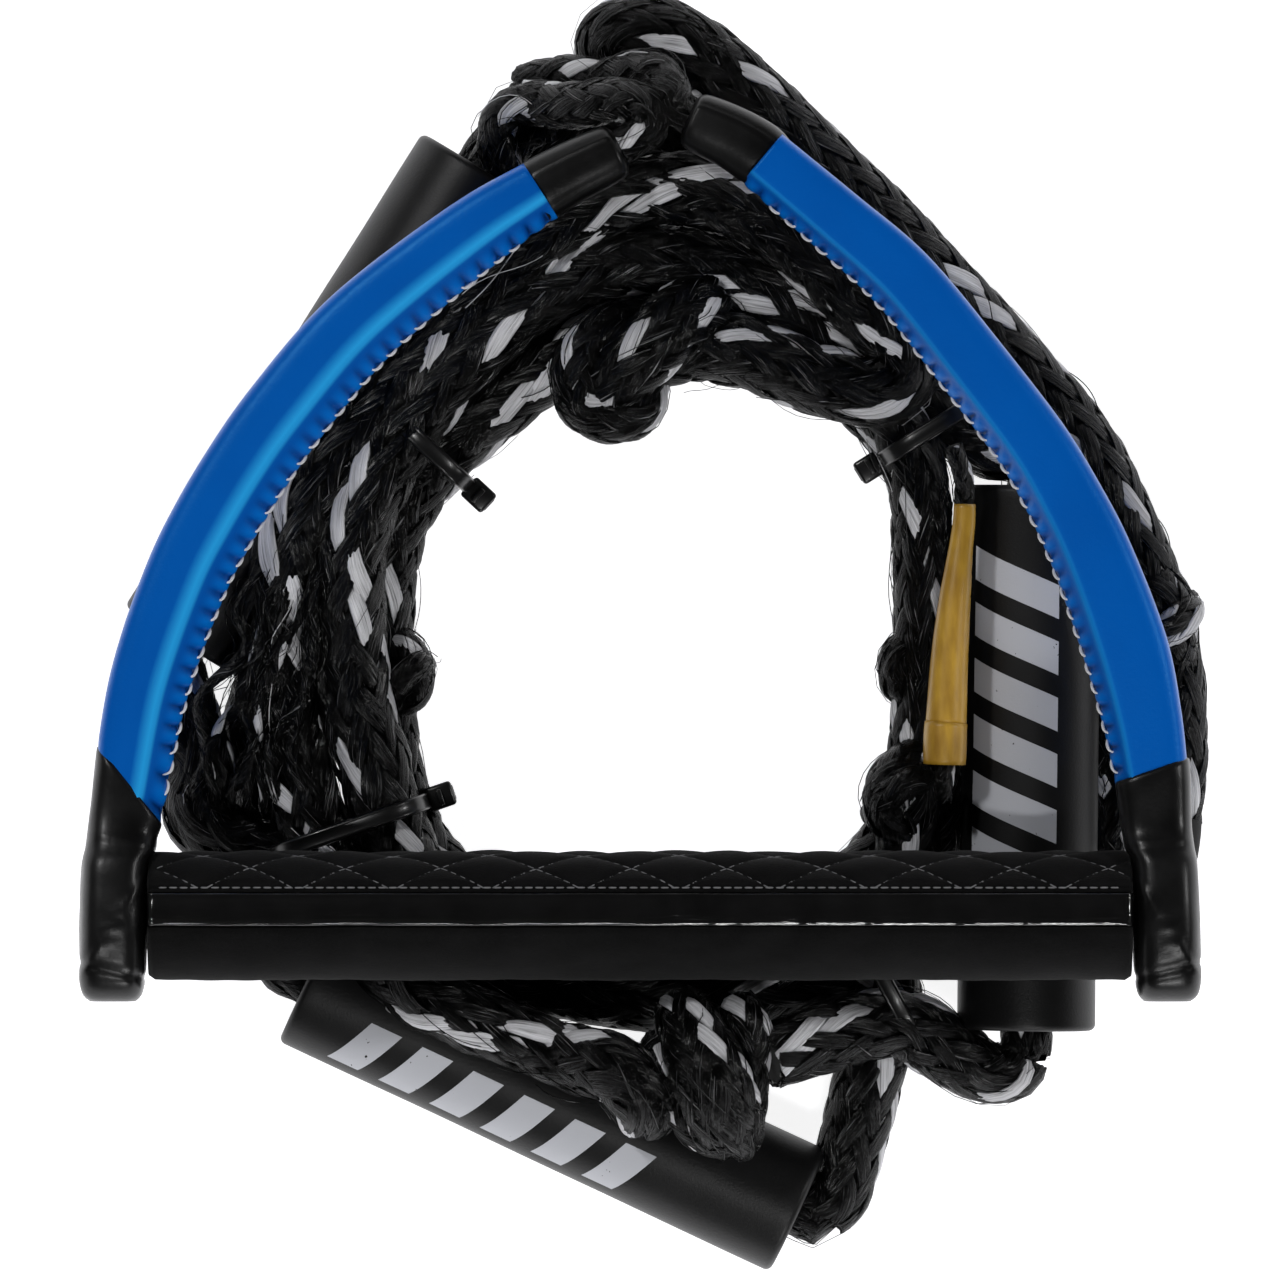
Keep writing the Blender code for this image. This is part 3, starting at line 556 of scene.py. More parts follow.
def knot(name, seed):
    """A pulled-tight knot: short braids that pass over and round each other."""
    parts = []
    for index, (points, tracers, strands) in enumerate(KNOTS[name]):
        middle = float(np.median([p[3] for p in points]))
        pitch = KNOT_PITCH * middle
        braid = braid_parts(
            points, tracers, seed * 10 + index, strands, pitch, level=False, loose=1.2, hair=260
        )
        parts.append(braid[0])
    made = merge_parts(name + "_wrap", parts)
    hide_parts(name)
    return made


end_cap = tube(
    "rope_end_seal", [(138.8, -34, 8), (138.3, -40, 7.8), (137.6, -46.5, 7.4), (137.4, -48, 7.3)],
    [7.2, 7.3, 7.2, 7.0, 5.2], CORE, 28,
)
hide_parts("rope_end_cap")
knots = {name: knot(name, 40 + i) for i, name in enumerate(KNOTS)}
turn_a = lay_rope(
    "rope_turn_outer", TURN_A, "coiled", "knot", ["rope_bundle_left"], (0, 1, 6), 1,
    [knots["top_knot"], knots["double_knot_left"]], loose=2.4, hair=330,
)
turn_b = lay_rope(
    "rope_turns_inner", TURN_B, "coiled", "object",
    ["rope_bundle_top", "rope_bundle_right", "rope_bundle_bottom"], (3, 4, 9), 2,
    [knots["left_knot"], knots["right_knot_upper"], knots["right_knot_lower"]], loose=1.7, hair=220,
)
turn_e = lay_rope(
    "rope_turn_float_2", TURN_E, "coiled", "knot", ["float_rope_2"], (5, 6, 0), 3,
    [knots["double_knot_right"]], loose=1.7, hair=220,
)
loose_parts = []
LOOSE_BRAIDS, LOOSE_SEED = 7, 70
for index in range(LOOSE_BRAIDS):
    rng = random.Random(LOOSE_SEED + index)
    lean = index / (LOOSE_BRAIDS - 1)
    line = [
        (-113.5 + 25 * lean, -36 + rng.uniform(-3, 3), 22 + 2 * lean, 0.9),
        (-114.5 + 26 * lean + rng.uniform(-2, 2), -28, 31 + 3 * lean, 1.3),
        (-111.5 + 24 * lean + rng.uniform(-4, 4), -16, 34.5 + 2.5 * lean, 1.4),
        (-110.5 + 25 * lean + rng.uniform(-4, 4), -3, 37 + 3 * lean, 1.4),
        (-105.5 + 22 * lean + rng.uniform(-4, 4), 9, 40 + 3 * lean, 1.4),
        (-101.5 + 19 * lean + rng.uniform(-3, 3), 21, 42.5 + 2 * lean, 1.3),
        (-95 + 15 * lean + rng.uniform(-2, 2), 32 + rng.uniform(-3, 6), 40 + 2 * lean, 1.0),
        (-91 + 13 * lean, 40 + rng.uniform(-3, 6), 33 + 2 * lean, 0.8),
    ]
    white = (0,) if index in (1, 4) else ()
    loose_parts.append(braid_parts(line, white, LOOSE_SEED + index, 6, 24, loose=2.0, hair=260)[0])
loose = merge_parts("loose_strands", loose_parts)
turn_f1 = lay_rope(
    "rope_turn_float_1", TURN_F1, "coiled", "object", ["float_rope_1"], (2, 3), 4, [loose],
    loose=2.0, hair=300,
)
turn_f3 = lay_rope("rope_turn_float_3", TURN_F3, "coiled", "object", ["float_rope_3"], (6, 7), 5)
outer = lay_rope(
    "rope_outer_run", OUTER, "loose", "fitting", ["outer_rope_start", "outer_rope_run", "outer_rope_end"],
    (1, 2, 8), 6, [knots["outer_knot"], end_cap], diameter=0.0165,
)
leader_left = lay_rope(
    "leader_left_rope", LEADER_LEFT, "loose", "knot", ["leader_left"], (0, 1), 7,
    [knots["bridle_knot"]], diameter=0.0108, strands=16, pitch=64.0,
)
leader_right = lay_rope(
    "leader_right_rope", LEADER_RIGHT, "loose", "knot", ["leader_right"], (2,), 8,
    diameter=0.0104, strands=14, pitch=58.0,
)
for piece in [loose, turn_a, turn_b, turn_e, turn_f1, turn_f3, outer, end_cap, *knots.values()]:
    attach(piece, "rope_bundle")
for piece, route in ((leader_left, LEADER_LEFT), (leader_right, LEADER_RIGHT)):
    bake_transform(piece)

# ---- handle: arms, lacing, tips and boots ----

BAR_Y, BAR_Z = -59.2, 53.5
ARM_TIP_Z, TIP_Y = 57.0, 138.1
ARM_DEPTH = 18.0
LACE_PITCH = 5.4
LEFT_ARM = [
    (-131, -25.5, 18.6), (-126, 1, 20.4), (-117, 27, 21), (-109, 43, 21.4), (-99, 59.3, 21.5),
    (-90, 71.5, 21.4), (-76, 88.3, 21.2), (-62.4, 100.8, 20.2), (-41.5, 117, 18.2), (-25.6, 127.3, 15.8),
]
RIGHT_ARM = [
    (131.3, -22, 18.6), (129, -8, 20), (124.3, 11, 21.4), (116.3, 33, 20.6), (108.8, 48.5, 19.4),
    (99.9, 63.3, 18.6), (83.8, 84.4, 18.2), (67.5, 104.3, 17.6), (51, 119, 16.6), (31.4, 135.5, 15.6),
]
LEFT_TIP = [
    (-27.5, 126, 16), (-24.5, 128, 16.6), (-18, 131.6, 16), (-9, 136, 15.2), (-6.2, 137.4, 13.8),
    (-5, 138, 10),
]
RIGHT_TIP = [
    (33.2, 134.2, 15.8), (30, 136.9, 16.8), (24, 140.6, 16.2), (17, 143.8, 15.6), (13.6, 145.2, 14.2),
    (12.4, 145.7, 10),
]
BOOT = [
    (-35, 132.4, 18.2, 21), (-41, 133.2, 18, 26), (-46, 134.5, 17.2, 30), (-59.2, 134.9, 17.4, 33),
    (-69, 135.2, 17.2, 32), (-75.5, 135.4, 16.8, 28.5), (-79, 135.4, 15.2, 22), (-80.6, 135.2, 12, 15),
]


def handle_height(y):
    share = (y - BAR_Y) / (TIP_Y - BAR_Y)
    return BAR_Z + (ARM_TIP_Z - BAR_Z) * np.clip(share, 0, 1)


def rounded(turn, power):
    """Points round a unit shape between a circle (2) and a square."""
    c, s = np.cos(turn), np.sin(turn)
    return np.sign(c) * np.abs(c) ** (2 / power), np.sign(s) * np.abs(s) ** (2 / power)


def step_up(value, low, high):
    t = np.clip((value - low) / (high - low), 0, 1)
    return t * t * (3 - 2 * t)


def outline_path(outline, step):
    route, length = smooth_path(np.array(outline, float), step)
    path = np.stack([route[:, 0], route[:, 1], handle_height(route[:, 1])], 1)
    along = unit(np.gradient(path, axis=0))
    side = unit(np.cross(along, UP))
    return path, along, side, route[:, 2], np.linspace(0, length, len(path))


def ripple(verts, scale, size, seed):
    """How far each point moves in a smooth random swell of the given wavelength."""
    off = Vector((seed * 13.1, seed * 7.7, seed * 3.3))
    return np.array([noise.noise(Vector(v) / scale + off) for v in verts]) * size


def arm_cover(name, outline, way, tilt, crease, ridge):
    """way is 1 where the laced edge is to the right of the path from the boot to the tip. The
    front is flat as far as the crease, and from there it slopes to the laced edge."""
    first = np.array(outline[0]) + (np.array(outline[0]) - np.array(outline[1])) * 0.16
    path, along, side, width, run = outline_path([tuple(first)] + outline, 0.9)
    inward = side * way
    count = 84
    turn = full_turn(count)
    u, v = rounded(turn, 4.4)
    rows, marks = [], []
    for p, ahead, inner, w, s in zip(path, along, inward, width, run):
        lace = 2 * math.pi * s / LACE_PITCH
        across = u * w / 2
        high = v * ARM_DEPTH / 2
        top = v > 0
        near = np.clip((u - crease) / (1 - crease), 0, 1)
        high = np.where(top, high * (1 - 0.62 * near**1.25), high)
        high = high + top * ridge * np.exp(-(((u - crease + 0.02) / 0.055) ** 2))
        pucker = step_up(near, 0.3, 0.85) * (v > -0.55)
        pillow = abs(math.sin(lace / 2)) ** 0.6 * 2 - 1.15
        high = high + pucker * 0.62 * pillow * (1 + 0.25 * math.sin(s * 0.37))
        across = across + pucker * 0.55 * pillow
        # painted light carried in the fibre attribute: x is a painted highlight along the crease, y a painted
        # highlight on each pillow and painted shade in the grooves between them, z painted shade over the
        # band that slopes down to the laced edge
        painted_highlight = ridge * np.exp(-(((u - crease - 0.01) / 0.07) ** 2)) * top
        marks.append(np.stack([painted_highlight, pucker * pillow * top, near * top], 1))
        slant = tilt * across * max(0, 1 - s / 16)
        rows.append(p + inner * across[:, None] + UP * high[:, None] + ahead * slant[:, None])
    verts = np.concatenate(rows)
    middle = np.repeat(path, count, 0)
    verts += unit(verts - middle) * ripple(verts, 26, 0.22, way)[:, None]
    made = add_mesh(name, verts * MM, ring_faces(len(path), count), LEATHER, fibre=np.concatenate(marks))
    return made, path, along, inward, width, run


def capsules(name, spans, radius, finish, around=6):
    """Short rounded stitches: each span is (start, end) in millimetres."""
    verts, faces, fibre, total = [], [], [], 0
    shape = [(0.0, 0.35), (0.1, 0.85), (0.3, 1.0), (0.7, 1.0), (0.9, 0.85), (1.0, 0.35)]
    turn = full_turn(around)
    for index, (a, b) in enumerate(spans):
        a, b = np.array(a, float), np.array(b, float)
        ahead = unit(b - a)
        side = unit(np.cross(ahead, UP + 0.01))
        up = np.cross(side, ahead)
        for at, size in shape:
            arch = 0.35 * radius * math.sin(math.pi * at)
            spot = a + (b - a) * at + UP * arch
            verts.append(spot + radius * size * (np.outer(np.cos(turn), side) + np.outer(np.sin(turn), up)))
            place = np.full(around, at * 0.004), np.full(around, index % 17)
            fibre.append(np.stack([np.cos(turn), *place], 1))
        faces += ring_faces(len(shape), around, total)
        total += len(shape) * around
    return add_mesh(name, np.concatenate(verts) * MM, faces, finish, fibre=np.concatenate(fibre))


def lacing(name, path, along, inward, width, run):
    """Stitches that bulge round the edge, one between each two pillows."""
    verts, faces, fibre, total = [], [], [], 0
    turn = full_turn(8)
    rng = random.Random(5)
    for k in range(1, int((run[-1] - 5) / LACE_PITCH)):
        jitter = rng.uniform(-0.25, 0.25)
        share = np.linspace(0, 1, 11)
        s = (k - 0.42 + share * 0.86) * LACE_PITCH + jitter
        at = along_line(s, run, path)
        inner = unit(along_line(s, run, inward))
        half = np.interp(s, run, width) / 2
        bulge = np.sin(share * math.pi)
        out = half + 0.05 + 0.55 * bulge - 1.5 * (1 - bulge) ** 3
        high = 3.2 - 2.4 * share + 0.5 * bulge + rng.uniform(-0.3, 0.3)
        line = at + inner * out[:, None] + UP * high[:, None]
        ahead = unit(np.gradient(line, axis=0))
        lateral = unit(np.cross(ahead, UP))
        raised = np.cross(lateral, ahead)
        verts.append(round_rings(line, lateral, raised, turn, 0.42 * (0.55 + 0.45 * bulge)))
        twist = np.repeat(s[:, None], 8, 1) * MM * 3
        lane = np.tile(np.cos(turn), (11, 1))
        fibre.append(np.stack([lane, twist, np.full_like(twist, k % 13)], -1).reshape(-1, 3))
        faces += ring_faces(11, 8, total)
        total += 88
    return add_mesh(name, np.concatenate(verts) * MM, faces, THREAD_WHITE, fibre=np.concatenate(fibre))


def arm_tip(name, outline, ridge):
    path, along, side, width, run = outline_path(outline, 0.5)
    count = 48
    turn = full_turn(count)
    u, v = rounded(turn, 2.5)
    depth = 15.0 * np.interp(width, [9.5, 14, 16.8], [0.62, 0.93, 1.0])
    rows = []
    for p, ahead, lateral, w, d, s in zip(path, along, side, width, depth, run):
        raised = 0.5 * np.exp(-(((turn - ridge) / 0.09) ** 2)) * step_up(s, 1, 4)
        raised *= 1 - step_up(s, run[-1] - 5, run[-1] - 2)
        size = 1 + raised / (w / 2)
        rows.append(p + lateral * (u * w / 2 * size)[:, None] + UP * (v * d / 2 * size)[:, None])
    verts = np.concatenate(rows)
    return add_mesh(name, verts * MM, ring_faces(len(path), count), RUBBER)


def boot(name, way, outline, tilt):
    x, y, width = outline[0]
    ahead = unit(np.array([x - outline[1][0], y - outline[1][1], 0]))
    sections = [(x - ahead[0] * 0.8, y - ahead[1] * 0.8, width + 0.3, ARM_DEPTH + 0.3)]
    sections += [(x + ahead[0] * 0.6, y + ahead[1] * 0.6, width + 1.2, ARM_DEPTH + 1.3)]
    sections += [(cx * way, cy, w, d) for cy, cx, w, d in BOOT]
    route, _ = smooth_path([(a, b, (BAR_Z + handle_height(b)) / 2, w, d) for a, b, w, d in sections], 0.8)
    count = 56
    turn = full_turn(count)
    u, v = rounded(turn, 3.6)
    rows = []
    for cx, cy, _, w, d in route:
        centre = np.array([cx, cy, handle_height(cy) if cy > -40 else BAR_Z])
        bent = step_up(-cy, 22, 42)
        square = np.array([-ahead[1] * way, ahead[0] * way, 0])
        lateral = unit(square * (1 - bent) + np.array([way, 0, 0]) * bent)
        slant = tilt * u * w / 2 * (1 - step_up(-cy, 20, 46))
        flap = (v > 0.3) * np.exp(-(((cy + 48 + 13.5 * (u + 1)) / 1.3) ** 2))
        crease = np.exp(-(((cy + 72.5 - 2 * u) / 1.0) ** 2))
        size = 1 - 0.35 * crease / (w / 2)
        high = v * d / 2 * size + 0.55 * flap
        across = u * w / 2 * size
        rows.append(centre + np.outer(across, lateral) + np.outer(high, UP) + np.outer(slant, -ahead))
    verts = np.concatenate(rows)
    middle = np.repeat(route[:, :3], count, 0)
    outward = unit(verts - middle)
    verts += outward * (ripple(verts, 18, 0.35, 3 + way) + ripple(verts, 6, 0.12, 8 + way))[:, None]
    return add_mesh(name, verts * MM, ring_faces(len(route), count), RUBBER)


LEATHER = Nodes("arm_blue_leather", 0.4, 0.35, Specular_Tint=(0.15, 0.6, 1, 1))
grain = LEATHER.grain(1100, 0.35, 0.00022, 3.0)
tone = LEATHER.noise(LEATHER.place(), 35, 2.0)
# painted light on the leather colour: painted shade over the sloping band (z), a painted cyan highlight along
# the crease (x), a painted highlight on the pillows and painted shade in the grooves (y)
marks = LEATHER.add("ShaderNodeSeparateXYZ", {0: LEATHER.place((1, 1, 1), "fibre")}).outputs
colour = LEATHER.mix(tone, (0.0, 0.085, 0.42), (0.0, 0.115, 0.52))
for mark, gain, painted_light_colour in (
    (2, 0.5, (0, 0.04, 0.28)), (0, 2.0, (0.03, 0.5, 1)),
    (1, 0.75, (0, 0.22, 0.8)), (1, -0.8, (0, 0.008, 0.06)),
):
    colour = LEATHER.mix(LEATHER.math("MULTIPLY", marks[mark], gain, clamp=True), colour, painted_light_colour)
LEATHER.link(colour, "Base Color")
LEATHER.link(LEATHER.math("ADD", LEATHER.math("MULTIPLY", grain, 0.16), 0.29), "Roughness")
RUBBER = Nodes("black_rubber", 0.4, 0.26, Coat_Weight=0.05, Coat_Roughness=0.2)
RUBBER.grain(700, 0.3, 0.0002)
scuff = RUBBER.noise(RUBBER.place(), 60, 4.0)
RUBBER.link(RUBBER.ramp(scuff, [(0.3, 0.0015), (0.8, 0.006)]), "Base Color")
RUBBER.link(RUBBER.ramp(scuff, [(0.3, 0.28), (0.75, 0.44)]), "Roughness")
THREAD_WHITE = fibre_material("white_lacing_thread", [(0.3, 0.55), (0.6, 0.85)], 0.55, 0.0001)
THREAD_GREY = fibre_material("grey_thread", [(0.3, 0.12), (0.7, 0.3)], 0.6, 0.0001)

for name, outline, tip, way, tilt in (
    ("left", LEFT_ARM, LEFT_TIP, 1, -0.95), ("right", RIGHT_ARM, RIGHT_TIP, -1, -0.17),
):
    crease, ridge = (0.35, 0.6) if way > 0 else (0.6, 0.14)
    cover, *lines = arm_cover("arm_cover_skin_" + name, outline, way, tilt, crease, ridge)
    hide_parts("arm_cover_" + name)
    lace = lacing("arm_lacing_" + name, *lines)
    end = arm_tip("arm_tip_sleeve_" + name, tip, 2.0 if way > 0 else 1.2)
    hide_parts("arm_tip_" + name)
    foot = boot("end_boot_skin_" + name, -way, outline, -tilt)
    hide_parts("end_boot_" + name)
    for piece in (cover, lace, end, foot):
        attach(piece, "handle")

# ---- grip ----

GRIP_HALF = 126.0
GRIP_INNER = 14.7
QUILT_PITCH = 24.4
QUILT_TURN = 50.0  # degrees round the bar between rows of crossings
QUILT_MIDDLE = 38.0


def bar_point(x, turn, radius):
    """Points at x along the bar and an angle in degrees from its palm side, 90 being up."""
    a = np.radians(turn)
    return np.stack([x, BAR_Y + radius * np.cos(a), BAR_Z + radius * np.sin(a)], -1)


def bar_shell(name, low, high, outer, finish, step=0.6, turn_step=1.6):
    """A curved strip round the bar, with its outer radius given by a function of x and angle."""
    xs = np.linspace(-GRIP_HALF, GRIP_HALF, int(2 * GRIP_HALF / step))
    turns = np.linspace(low, high, max(6, int((high - low) / turn_step)))
    x, turn = np.meshgrid(xs, turns, indexing="ij")
    edge = np.minimum(turn - low, high - turn) * math.pi / 180 * 16
    end = GRIP_HALF - np.abs(x)
    rim = np.minimum(np.clip(edge / 1.2, 0, 1), np.clip(end / 1.5, 0, 1))
    radius = outer(x, turn) - 1.1 * (1 - np.sqrt(1 - (1 - rim) ** 2))
    skin = bar_point(x, turn, radius)
    under = bar_point(x, turn, np.full_like(radius, GRIP_INNER + 0.1))
    rings = np.concatenate([skin, under[:, ::-1]], 1)
    count = rings.shape[1]
    return add_mesh(name, rings.reshape(-1, 3) * MM, ring_faces(len(xs), count), finish)


def quilt_lines(x, turn):
    rise = (turn - QUILT_MIDDLE) / QUILT_TURN
    return x / QUILT_PITCH + 0.09 + rise, x / QUILT_PITCH + 0.09 - rise


def quilted(x, turn):
    a, b = quilt_lines(x, turn)
    puff = (np.abs(np.sin(math.pi * a)) * np.abs(np.sin(math.pi * b))) ** 0.45
    row = 1 - np.exp(-(((turn - 60.5) / 3.0) ** 2))
    swell = np.sin(x * 0.31) * 0.1 + np.sin(x * 0.117 + turn * 0.02) * 0.15
    return 15.75 + 1.35 * puff * row + 0.25 * row + swell


def seam(x, turn):
    wander = 94.6 + 0.5 * np.sin(x * 0.11) + 0.35 * np.sin(x * 0.29 + 1)
    full = 1.0 + 0.25 * np.sin(x * 0.21) * np.sin(x * 0.083 + 2)
    broken = 0.08 + 0.6 * np.clip(np.sin(x * 0.55) * np.sin(x * 0.23 + 1), 0, 1) ** 2
    size = full + (broken - full) * step_up(x, 0, 14)
    bead = 0.5 * size * np.exp(-(((turn - wander) / 2.7) ** 2))
    swell = 0.1 * np.sin(x * 0.16 + turn * 0.1) * np.sin(x * 0.057)
    return 16.0 + bead + swell + 0.3 * np.exp(-(((turn - 67) / 2.5) ** 2))


def wrap(x, turn):
    return 16.05 + 0.12 * np.sin(x * 0.13 + turn * 0.05) + 0.06 * np.sin(x * 0.61)


def quilt_stitches():
    spans = []
    for k in range(-13, 14):
        for slope in (1, -1):
            for j in range(26):
                pair = []
                for part in (0.0, 0.72):
                    turn = -62 + (j + part) * 124 / 26
                    rise = (turn - QUILT_MIDDLE) / QUILT_TURN
                    pair.append(((k - slope * rise - 0.09) * QUILT_PITCH, turn))
                if max(abs(x) for x, _ in pair) > GRIP_HALF - 2:
                    continue
                spans.append([bar_point(x, t, quilted(x, t) + 0.12) for x, t in pair])
    return spans


def row_stitches():
    count = 92
    spans = []
    for j in range(count):
        x = -GRIP_HALF + 3 + j * (2 * GRIP_HALF - 6) / count
        spans.append([bar_point(x + d, 60.5, 16.1) for d in (0, 2.0)])
    return spans


SUEDE = Nodes("grip_black_suede", 0.95, 0.12, Sheen_Weight=0.05, Sheen_Roughness=0.5)
nap = SUEDE.noise(SUEDE.place(), 2600, 4.0, 0.7)
patch = SUEDE.noise(SUEDE.place((1, 2, 2)), 90, 3.0)
both = SUEDE.math("ADD", SUEDE.math("MULTIPLY", nap, 0.55), SUEDE.math("MULTIPLY", patch, 0.45))
SUEDE.link(SUEDE.ramp(both, [(0.35, 0.0012), (0.62, 0.005), (0.8, 0.014)]), "Base Color")
SUEDE.bump(nap, 0.8, 0.0003)
GLOSS = Nodes("seam_gloss", 0.13, Coat_Weight=0.9, Coat_Roughness=0.08)
GLOSS.grain(300, 0.6, 0.0006, stretch=(0.07, 1, 1))
GLOSS.mottle(0.0015, 0.005, 120)

pad = bar_shell("palm_pad_quilted", -70, 64, quilted, SUEDE)
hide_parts("palm_pad")
strip = bar_shell("seam_band", 64.5, 98, seam, GLOSS, 0.7, 0.6)
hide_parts("seam_strip")
cover = bar_shell("grip_wrap", 98, 289, wrap, SUEDE, 1.6, 3.0)
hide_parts("grip_cover")
quilt_thread = capsules("quilt_thread", quilt_stitches(), 0.2, THREAD_GREY, 5)
row_thread = capsules("seam_thread", row_stitches(), 0.24, THREAD_GREY, 5)
for piece, name in ((pad, "black_suede"), (cover, "black_suede"), (strip, "glossy_seam"),
                    (quilt_thread, "black_suede"), (row_thread, "black_suede")):
    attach(piece, "grip_bar")

# ---- floats ----

FLOATS = [
    # axis ends in plan, radius, printed bars: first and last along the axis, low and high angle
    ((-41.5, 134), (-118.6, 11.3), 17.75, None),
    ((101.8, 52), (100, -89), 18, (23, 113, -22, 56)),
    ((-86.2, -76.1), (40.9, -135.9), 17.5, (21, 108, 8, 61)),
]
FLOAT_BORE, FLOAT_RIM = 7.4, 1.8
BAR_PITCH, BAR_SHARE, BAR_SLANT = 14.5, 0.6, 0.13  # printed bars; the slant is for each degree


def foam_material(index, printed):
    """Satin closed-cell foam, on two of the floats with a plain row of slanted pale bars."""
    n = Nodes(f"float_foam_{index}", 0.42, 0.26)
    n.bump(n.noise(n.place(), 1500, 4.0, 0.65), 0.35, 0.0002)
    base = n.ramp(n.noise(n.place(), 45, 4), [(0.3, 0.003), (0.8, 0.007)])
    if not printed:
        n.link(base, "Base Color")
        return n
    first, last, low, high = printed
    split = n.add("ShaderNodeSeparateXYZ", {0: n.place((1, 1, 1), "fibre")})
    along, around = split.outputs[0], split.outputs[1]
    slanted = n.math("ADD", along, n.math("MULTIPLY", around, BAR_SLANT))
    row = n.math("FRACT", n.math("DIVIDE", n.math("SUBTRACT", slanted, first), BAR_PITCH))
    mask = n.math("LESS_THAN", row, BAR_SHARE)
    for value, bound, kind in (
        (slanted, first, "GREATER_THAN"), (slanted, last, "LESS_THAN"),
        (around, low, "GREATER_THAN"), (around, high, "LESS_THAN"),
    ):
        mask = n.math("MULTIPLY", mask, n.math(kind, value, bound))
    worn = n.math("MULTIPLY", mask, n.math("LESS_THAN", n.noise(n.place(), 700, 3), 0.72))
    n.link(n.mix(worn, base, (0.52, 0.53, 0.57)), "Base Color")
    return n


def foam_float(index):
    (ax, ay), (bx, by), radius, printed = FLOATS[index]
    start, end = np.array([ax, ay, radius]), np.array([bx, by, radius])
    length = np.linalg.norm(end - start)
    axis = (end - start) / length
    side = unit(np.cross(axis, UP))
    rim = FLOAT_RIM
    quarter = np.linspace(0, math.pi / 2, 7)
    arc = [(rim * (1 - math.cos(t)), radius - rim + rim * math.sin(t)) for t in quarter]
    mouth = [(4.0, FLOAT_BORE), (0.6, FLOAT_BORE + 0.1), (0, FLOAT_BORE + 0.8)]
    middle = [(d, radius) for d in np.linspace(4, length - 4, 46)]
    profile = mouth + arc + middle + [(length - d, r) for d, r in arc[::-1] + mouth[::-1]]
    count = 96
    turn = np.linspace(-math.pi, math.pi, count, endpoint=False)
    verts, marks = [], []
    for d, r in profile:
        out = np.outer(np.sin(turn), side) + np.outer(np.cos(turn), UP)
        verts.append(start + axis * d + out * r)
        marks.append(np.stack([np.full(count, d), np.degrees(turn), np.zeros(count)], 1))
    verts = np.concatenate(verts)
    spine = start + np.outer((verts - start) @ axis, axis)
    verts += unit(verts - spine) * (ripple(verts, 30, 0.22, index + 20) - 0.12)[:, None]
    faces = ring_faces(len(profile), count, wrapped=True)
    finish = foam_material(index + 1, printed)
    made = add_mesh(f"float_foam_body_{index + 1}", verts * MM, faces, finish, fibre=np.concatenate(marks))
    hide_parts(f"float_{index + 1}")
    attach(made, f"float_{index + 1}")


for index in range(3):
    foam_float(index)

# ---- cable ties, label and what is inside ----

PLASTIC = Nodes("tie_black_plastic", 0.3, 0.35, Coat_Weight=0.08)
PLASTIC.grain(900, 0.2, 0.0001)
PLASTIC.mottle(0.002, 0.006, 200)
TIES = {
    "tie_upper_left": ((-53, 60, 36.4), 137, (11.5, 15), -1),
    "tie_upper_right": ((74.5, 66, 22), 32, (13.4, 18.6), -1),
    "tie_lower_left": ((-75, -36.5, 21), 199, (20.5, 19), -1),
    "tie_lower_right": ((61.2, -72.6, 18), -62, (20.5, 16.2), 0),
}
TIE_HALF, TIE_THICK = 2.2, 1.3


def box(name, centre, axes, sizes, bevel, finish):
    """A block with its edges bevelled, along three given directions."""
    corners = [(x, y, z) for x in (-0.5, 0.5) for y in (-0.5, 0.5) for z in (-0.5, 0.5)]
    faces = [(0, 1, 3, 2), (4, 6, 7, 5), (0, 4, 5, 1), (2, 3, 7, 6), (0, 2, 6, 4), (1, 5, 7, 3)]
    verts = np.array(centre) + (np.array(corners) * sizes) @ np.array(axes)
    made = add_mesh(name, verts * MM, faces, finish)
    round_off = made.modifiers.new("round", "BEVEL")
    round_off.width, round_off.segments = bevel * MM, 3
    return made


def tie(name, centre, angle, halves, head_side):
    out = np.array([math.cos(math.radians(angle)), math.sin(math.radians(angle)), 0])
    along = np.cross(UP, out)
    turn = full_turn(96)
    u, v = rounded(turn, 3.2)
    section = [(-1, 0.25), (-0.8, 1), (-0.55, 0.82), (0.55, 0.82), (0.8, 1), (1, 0.25), (0.85, 0), (-0.85, 0)]
    rings = []
    for a, b in zip(u, v):
        for w, h in section:
            reach = np.array(halves) + TIE_THICK * h
            rings.append(np.array(centre) + along * TIE_HALF * w + out * a * reach[0] + UP * b * reach[1])
    faces = ring_faces(96, len(section), wrapped=True)
    strap = add_mesh(name + "_strap", np.array(rings) * MM, faces, PLASTIC)
    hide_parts(name)
    made = [strap]
    if head_side:
        reach = halves[0] + TIE_THICK + 2.8
        head = np.array(centre) + out * head_side * reach
        for part, place, sizes, bevel in (
            ("_head", head, (7.4, 6.4, 6.6), 0.9),
            ("_pawl", head + out * head_side * 3.4, (1.0, 4.0, 3.4), 0.3),
            ("_cut_end", head + UP * 3.9 + along * 0.2, (1.4, 4.2, 2.6), 0.3),
        ):
            made.append(box(name + part, place, (out, along, UP), sizes, bevel, PLASTIC))
    for piece in made:
        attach(piece, "rope_bundle")


for name, values in TIES.items():
    tie(name, *values)

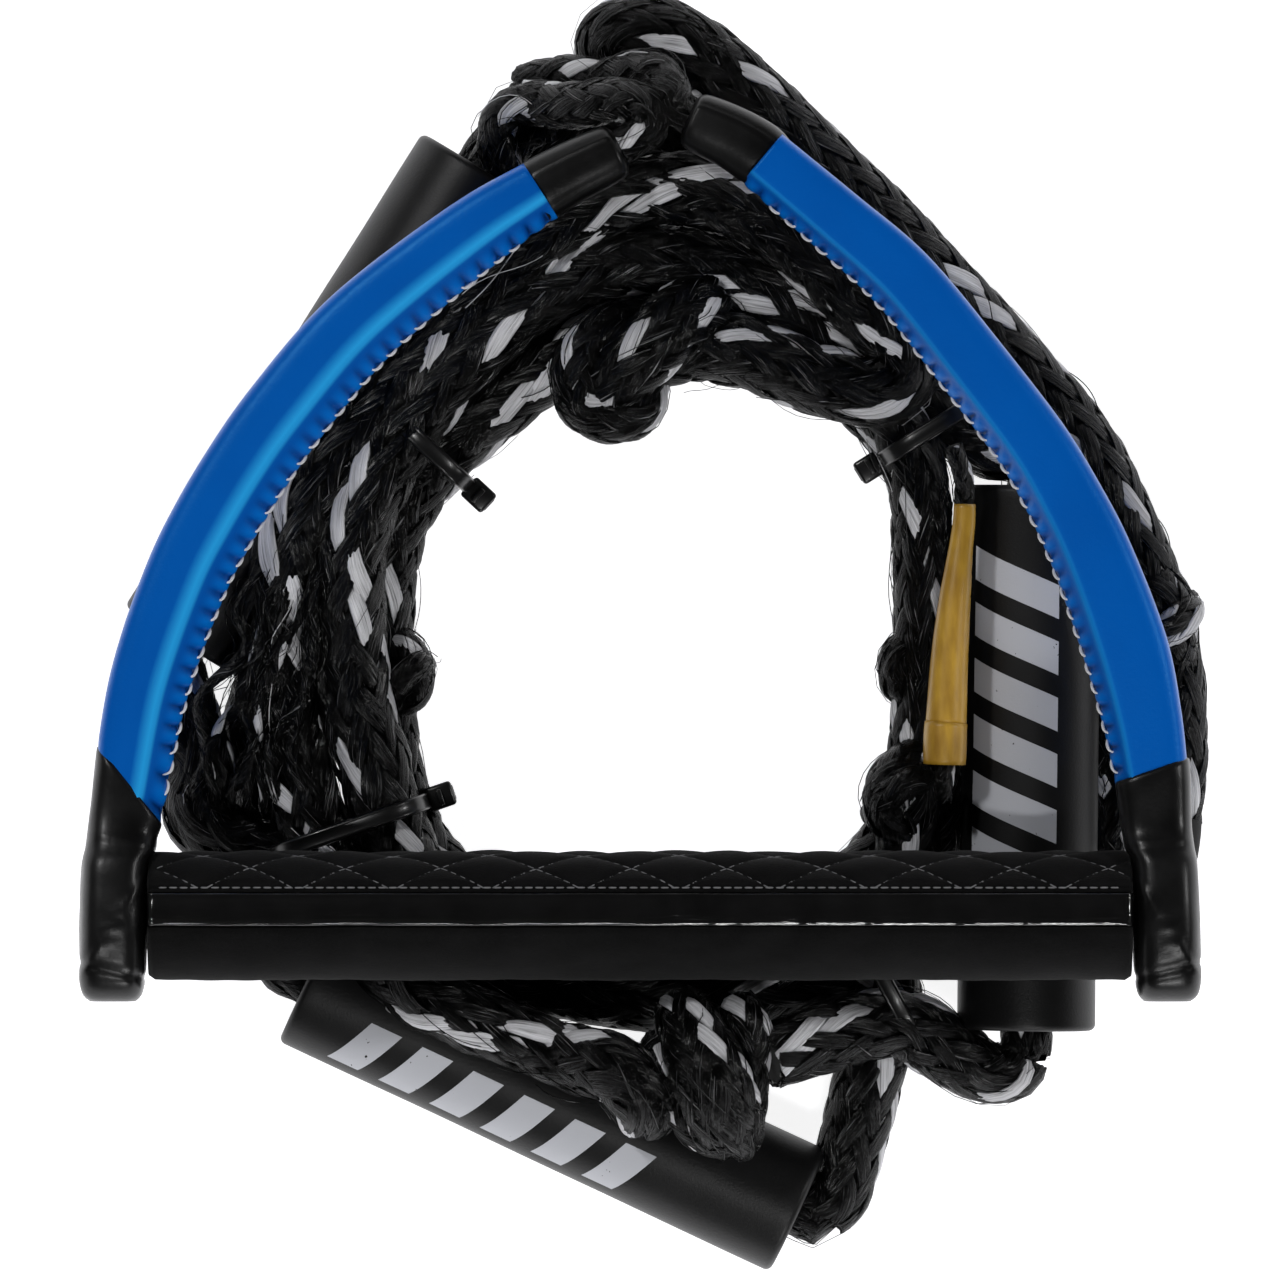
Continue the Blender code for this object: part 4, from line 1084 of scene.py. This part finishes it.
YELLOW = Nodes("label_mustard", 0.42, Coat_Weight=0.15)
YELLOW.grain(500, 0.25, 0.0002)
YELLOW.mottle((0.32, 0.165, 0.012), (0.54, 0.31, 0.03), 90, 4.0, (0.3, 0.7), (4, 1, 1))
SLEEVE = [
    (78.8, -9.5, 40.8), (79.6, 6, 40.8), (80.8, 20, 41), (82.4, 34, 41), (83.4, 42, 40.8), (83.6, 47, 40.8),
]
BAND = [(78.4, -20, 40.6), (78.5, -16, 40.7), (78.6, -12, 40.8), (78.8, -9.2, 40.8)]
label = tube("label_sleeve_shrunk", SLEEVE, [5.3, 5.0, 4.6, 4.0, 3.1, 2.8], YELLOW, 40)
band = tube("label_sleeve_band", BAND, [5.5, 5.6, 5.6, 5.5], YELLOW, 40)
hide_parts("label_sleeve")
LABEL_CORD = [
    (80.5, 62, 44.5), (83.2, 54, 43), (83.4, 45.4, 40.8), (81, 13, 40.8), (78.6, -19.6, 40.5),
    (78, -30, 40),
]
label_cord = lay_rope(
    "label_cord_rope", [(*p, 2.5) for p in LABEL_CORD], "loose", "object", ["label_cord"], (1,), 9,
    [label, band], diameter=0.005, strands=8, pitch=26.0,
)
for piece in (label, band, label_cord):
    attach(piece, "rope_bundle")

foam = Nodes("core_foam", 0.9)
foam.grain(1200, 0.5, 0.0003)
foam.mottle(0.07, 0.15, 700, ends=(0.3, 0.7))
metal = Nodes("bar_aluminium", 0.32, Metallic=1.0)
metal.grain(300, 0.15, 0.0001, stretch=(0.05, 1, 1))
metal.mottle(0.7, 0.82, 300, ends=(0.3, 0.7), stretch=(0.05, 1, 1))
for node_name, finish in (
    ("arm_foam_left", foam), ("arm_foam_right", foam), ("bar_foam", foam), ("bar_tube", metal),
    ("bar_bush_left", PLASTIC), ("bar_bush_right", PLASTIC), ("bridle_rope", CORE),
):
    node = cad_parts[node_name]
    for holder in node.material_slots:
        holder.material = finish.material

# ---- floor ----

FLOOR_HALF = 4.0
pale = Nodes("floor_white", 0.9, 0.1, Emission_Color=(1, 1, 1, 1), Emission_Strength=0.88)
pale.mottle(0.9, 0.93, 3, 2.0, (0.3, 0.7))
corners = [(x * FLOOR_HALF, y * FLOOR_HALF, 0) for x, y in ((-1, -1), (1, -1), (1, 1), (-1, 1))]
floor = add_mesh("floor", corners, [(0, 1, 2, 3)], pale)
floor.location.z = -0.0006
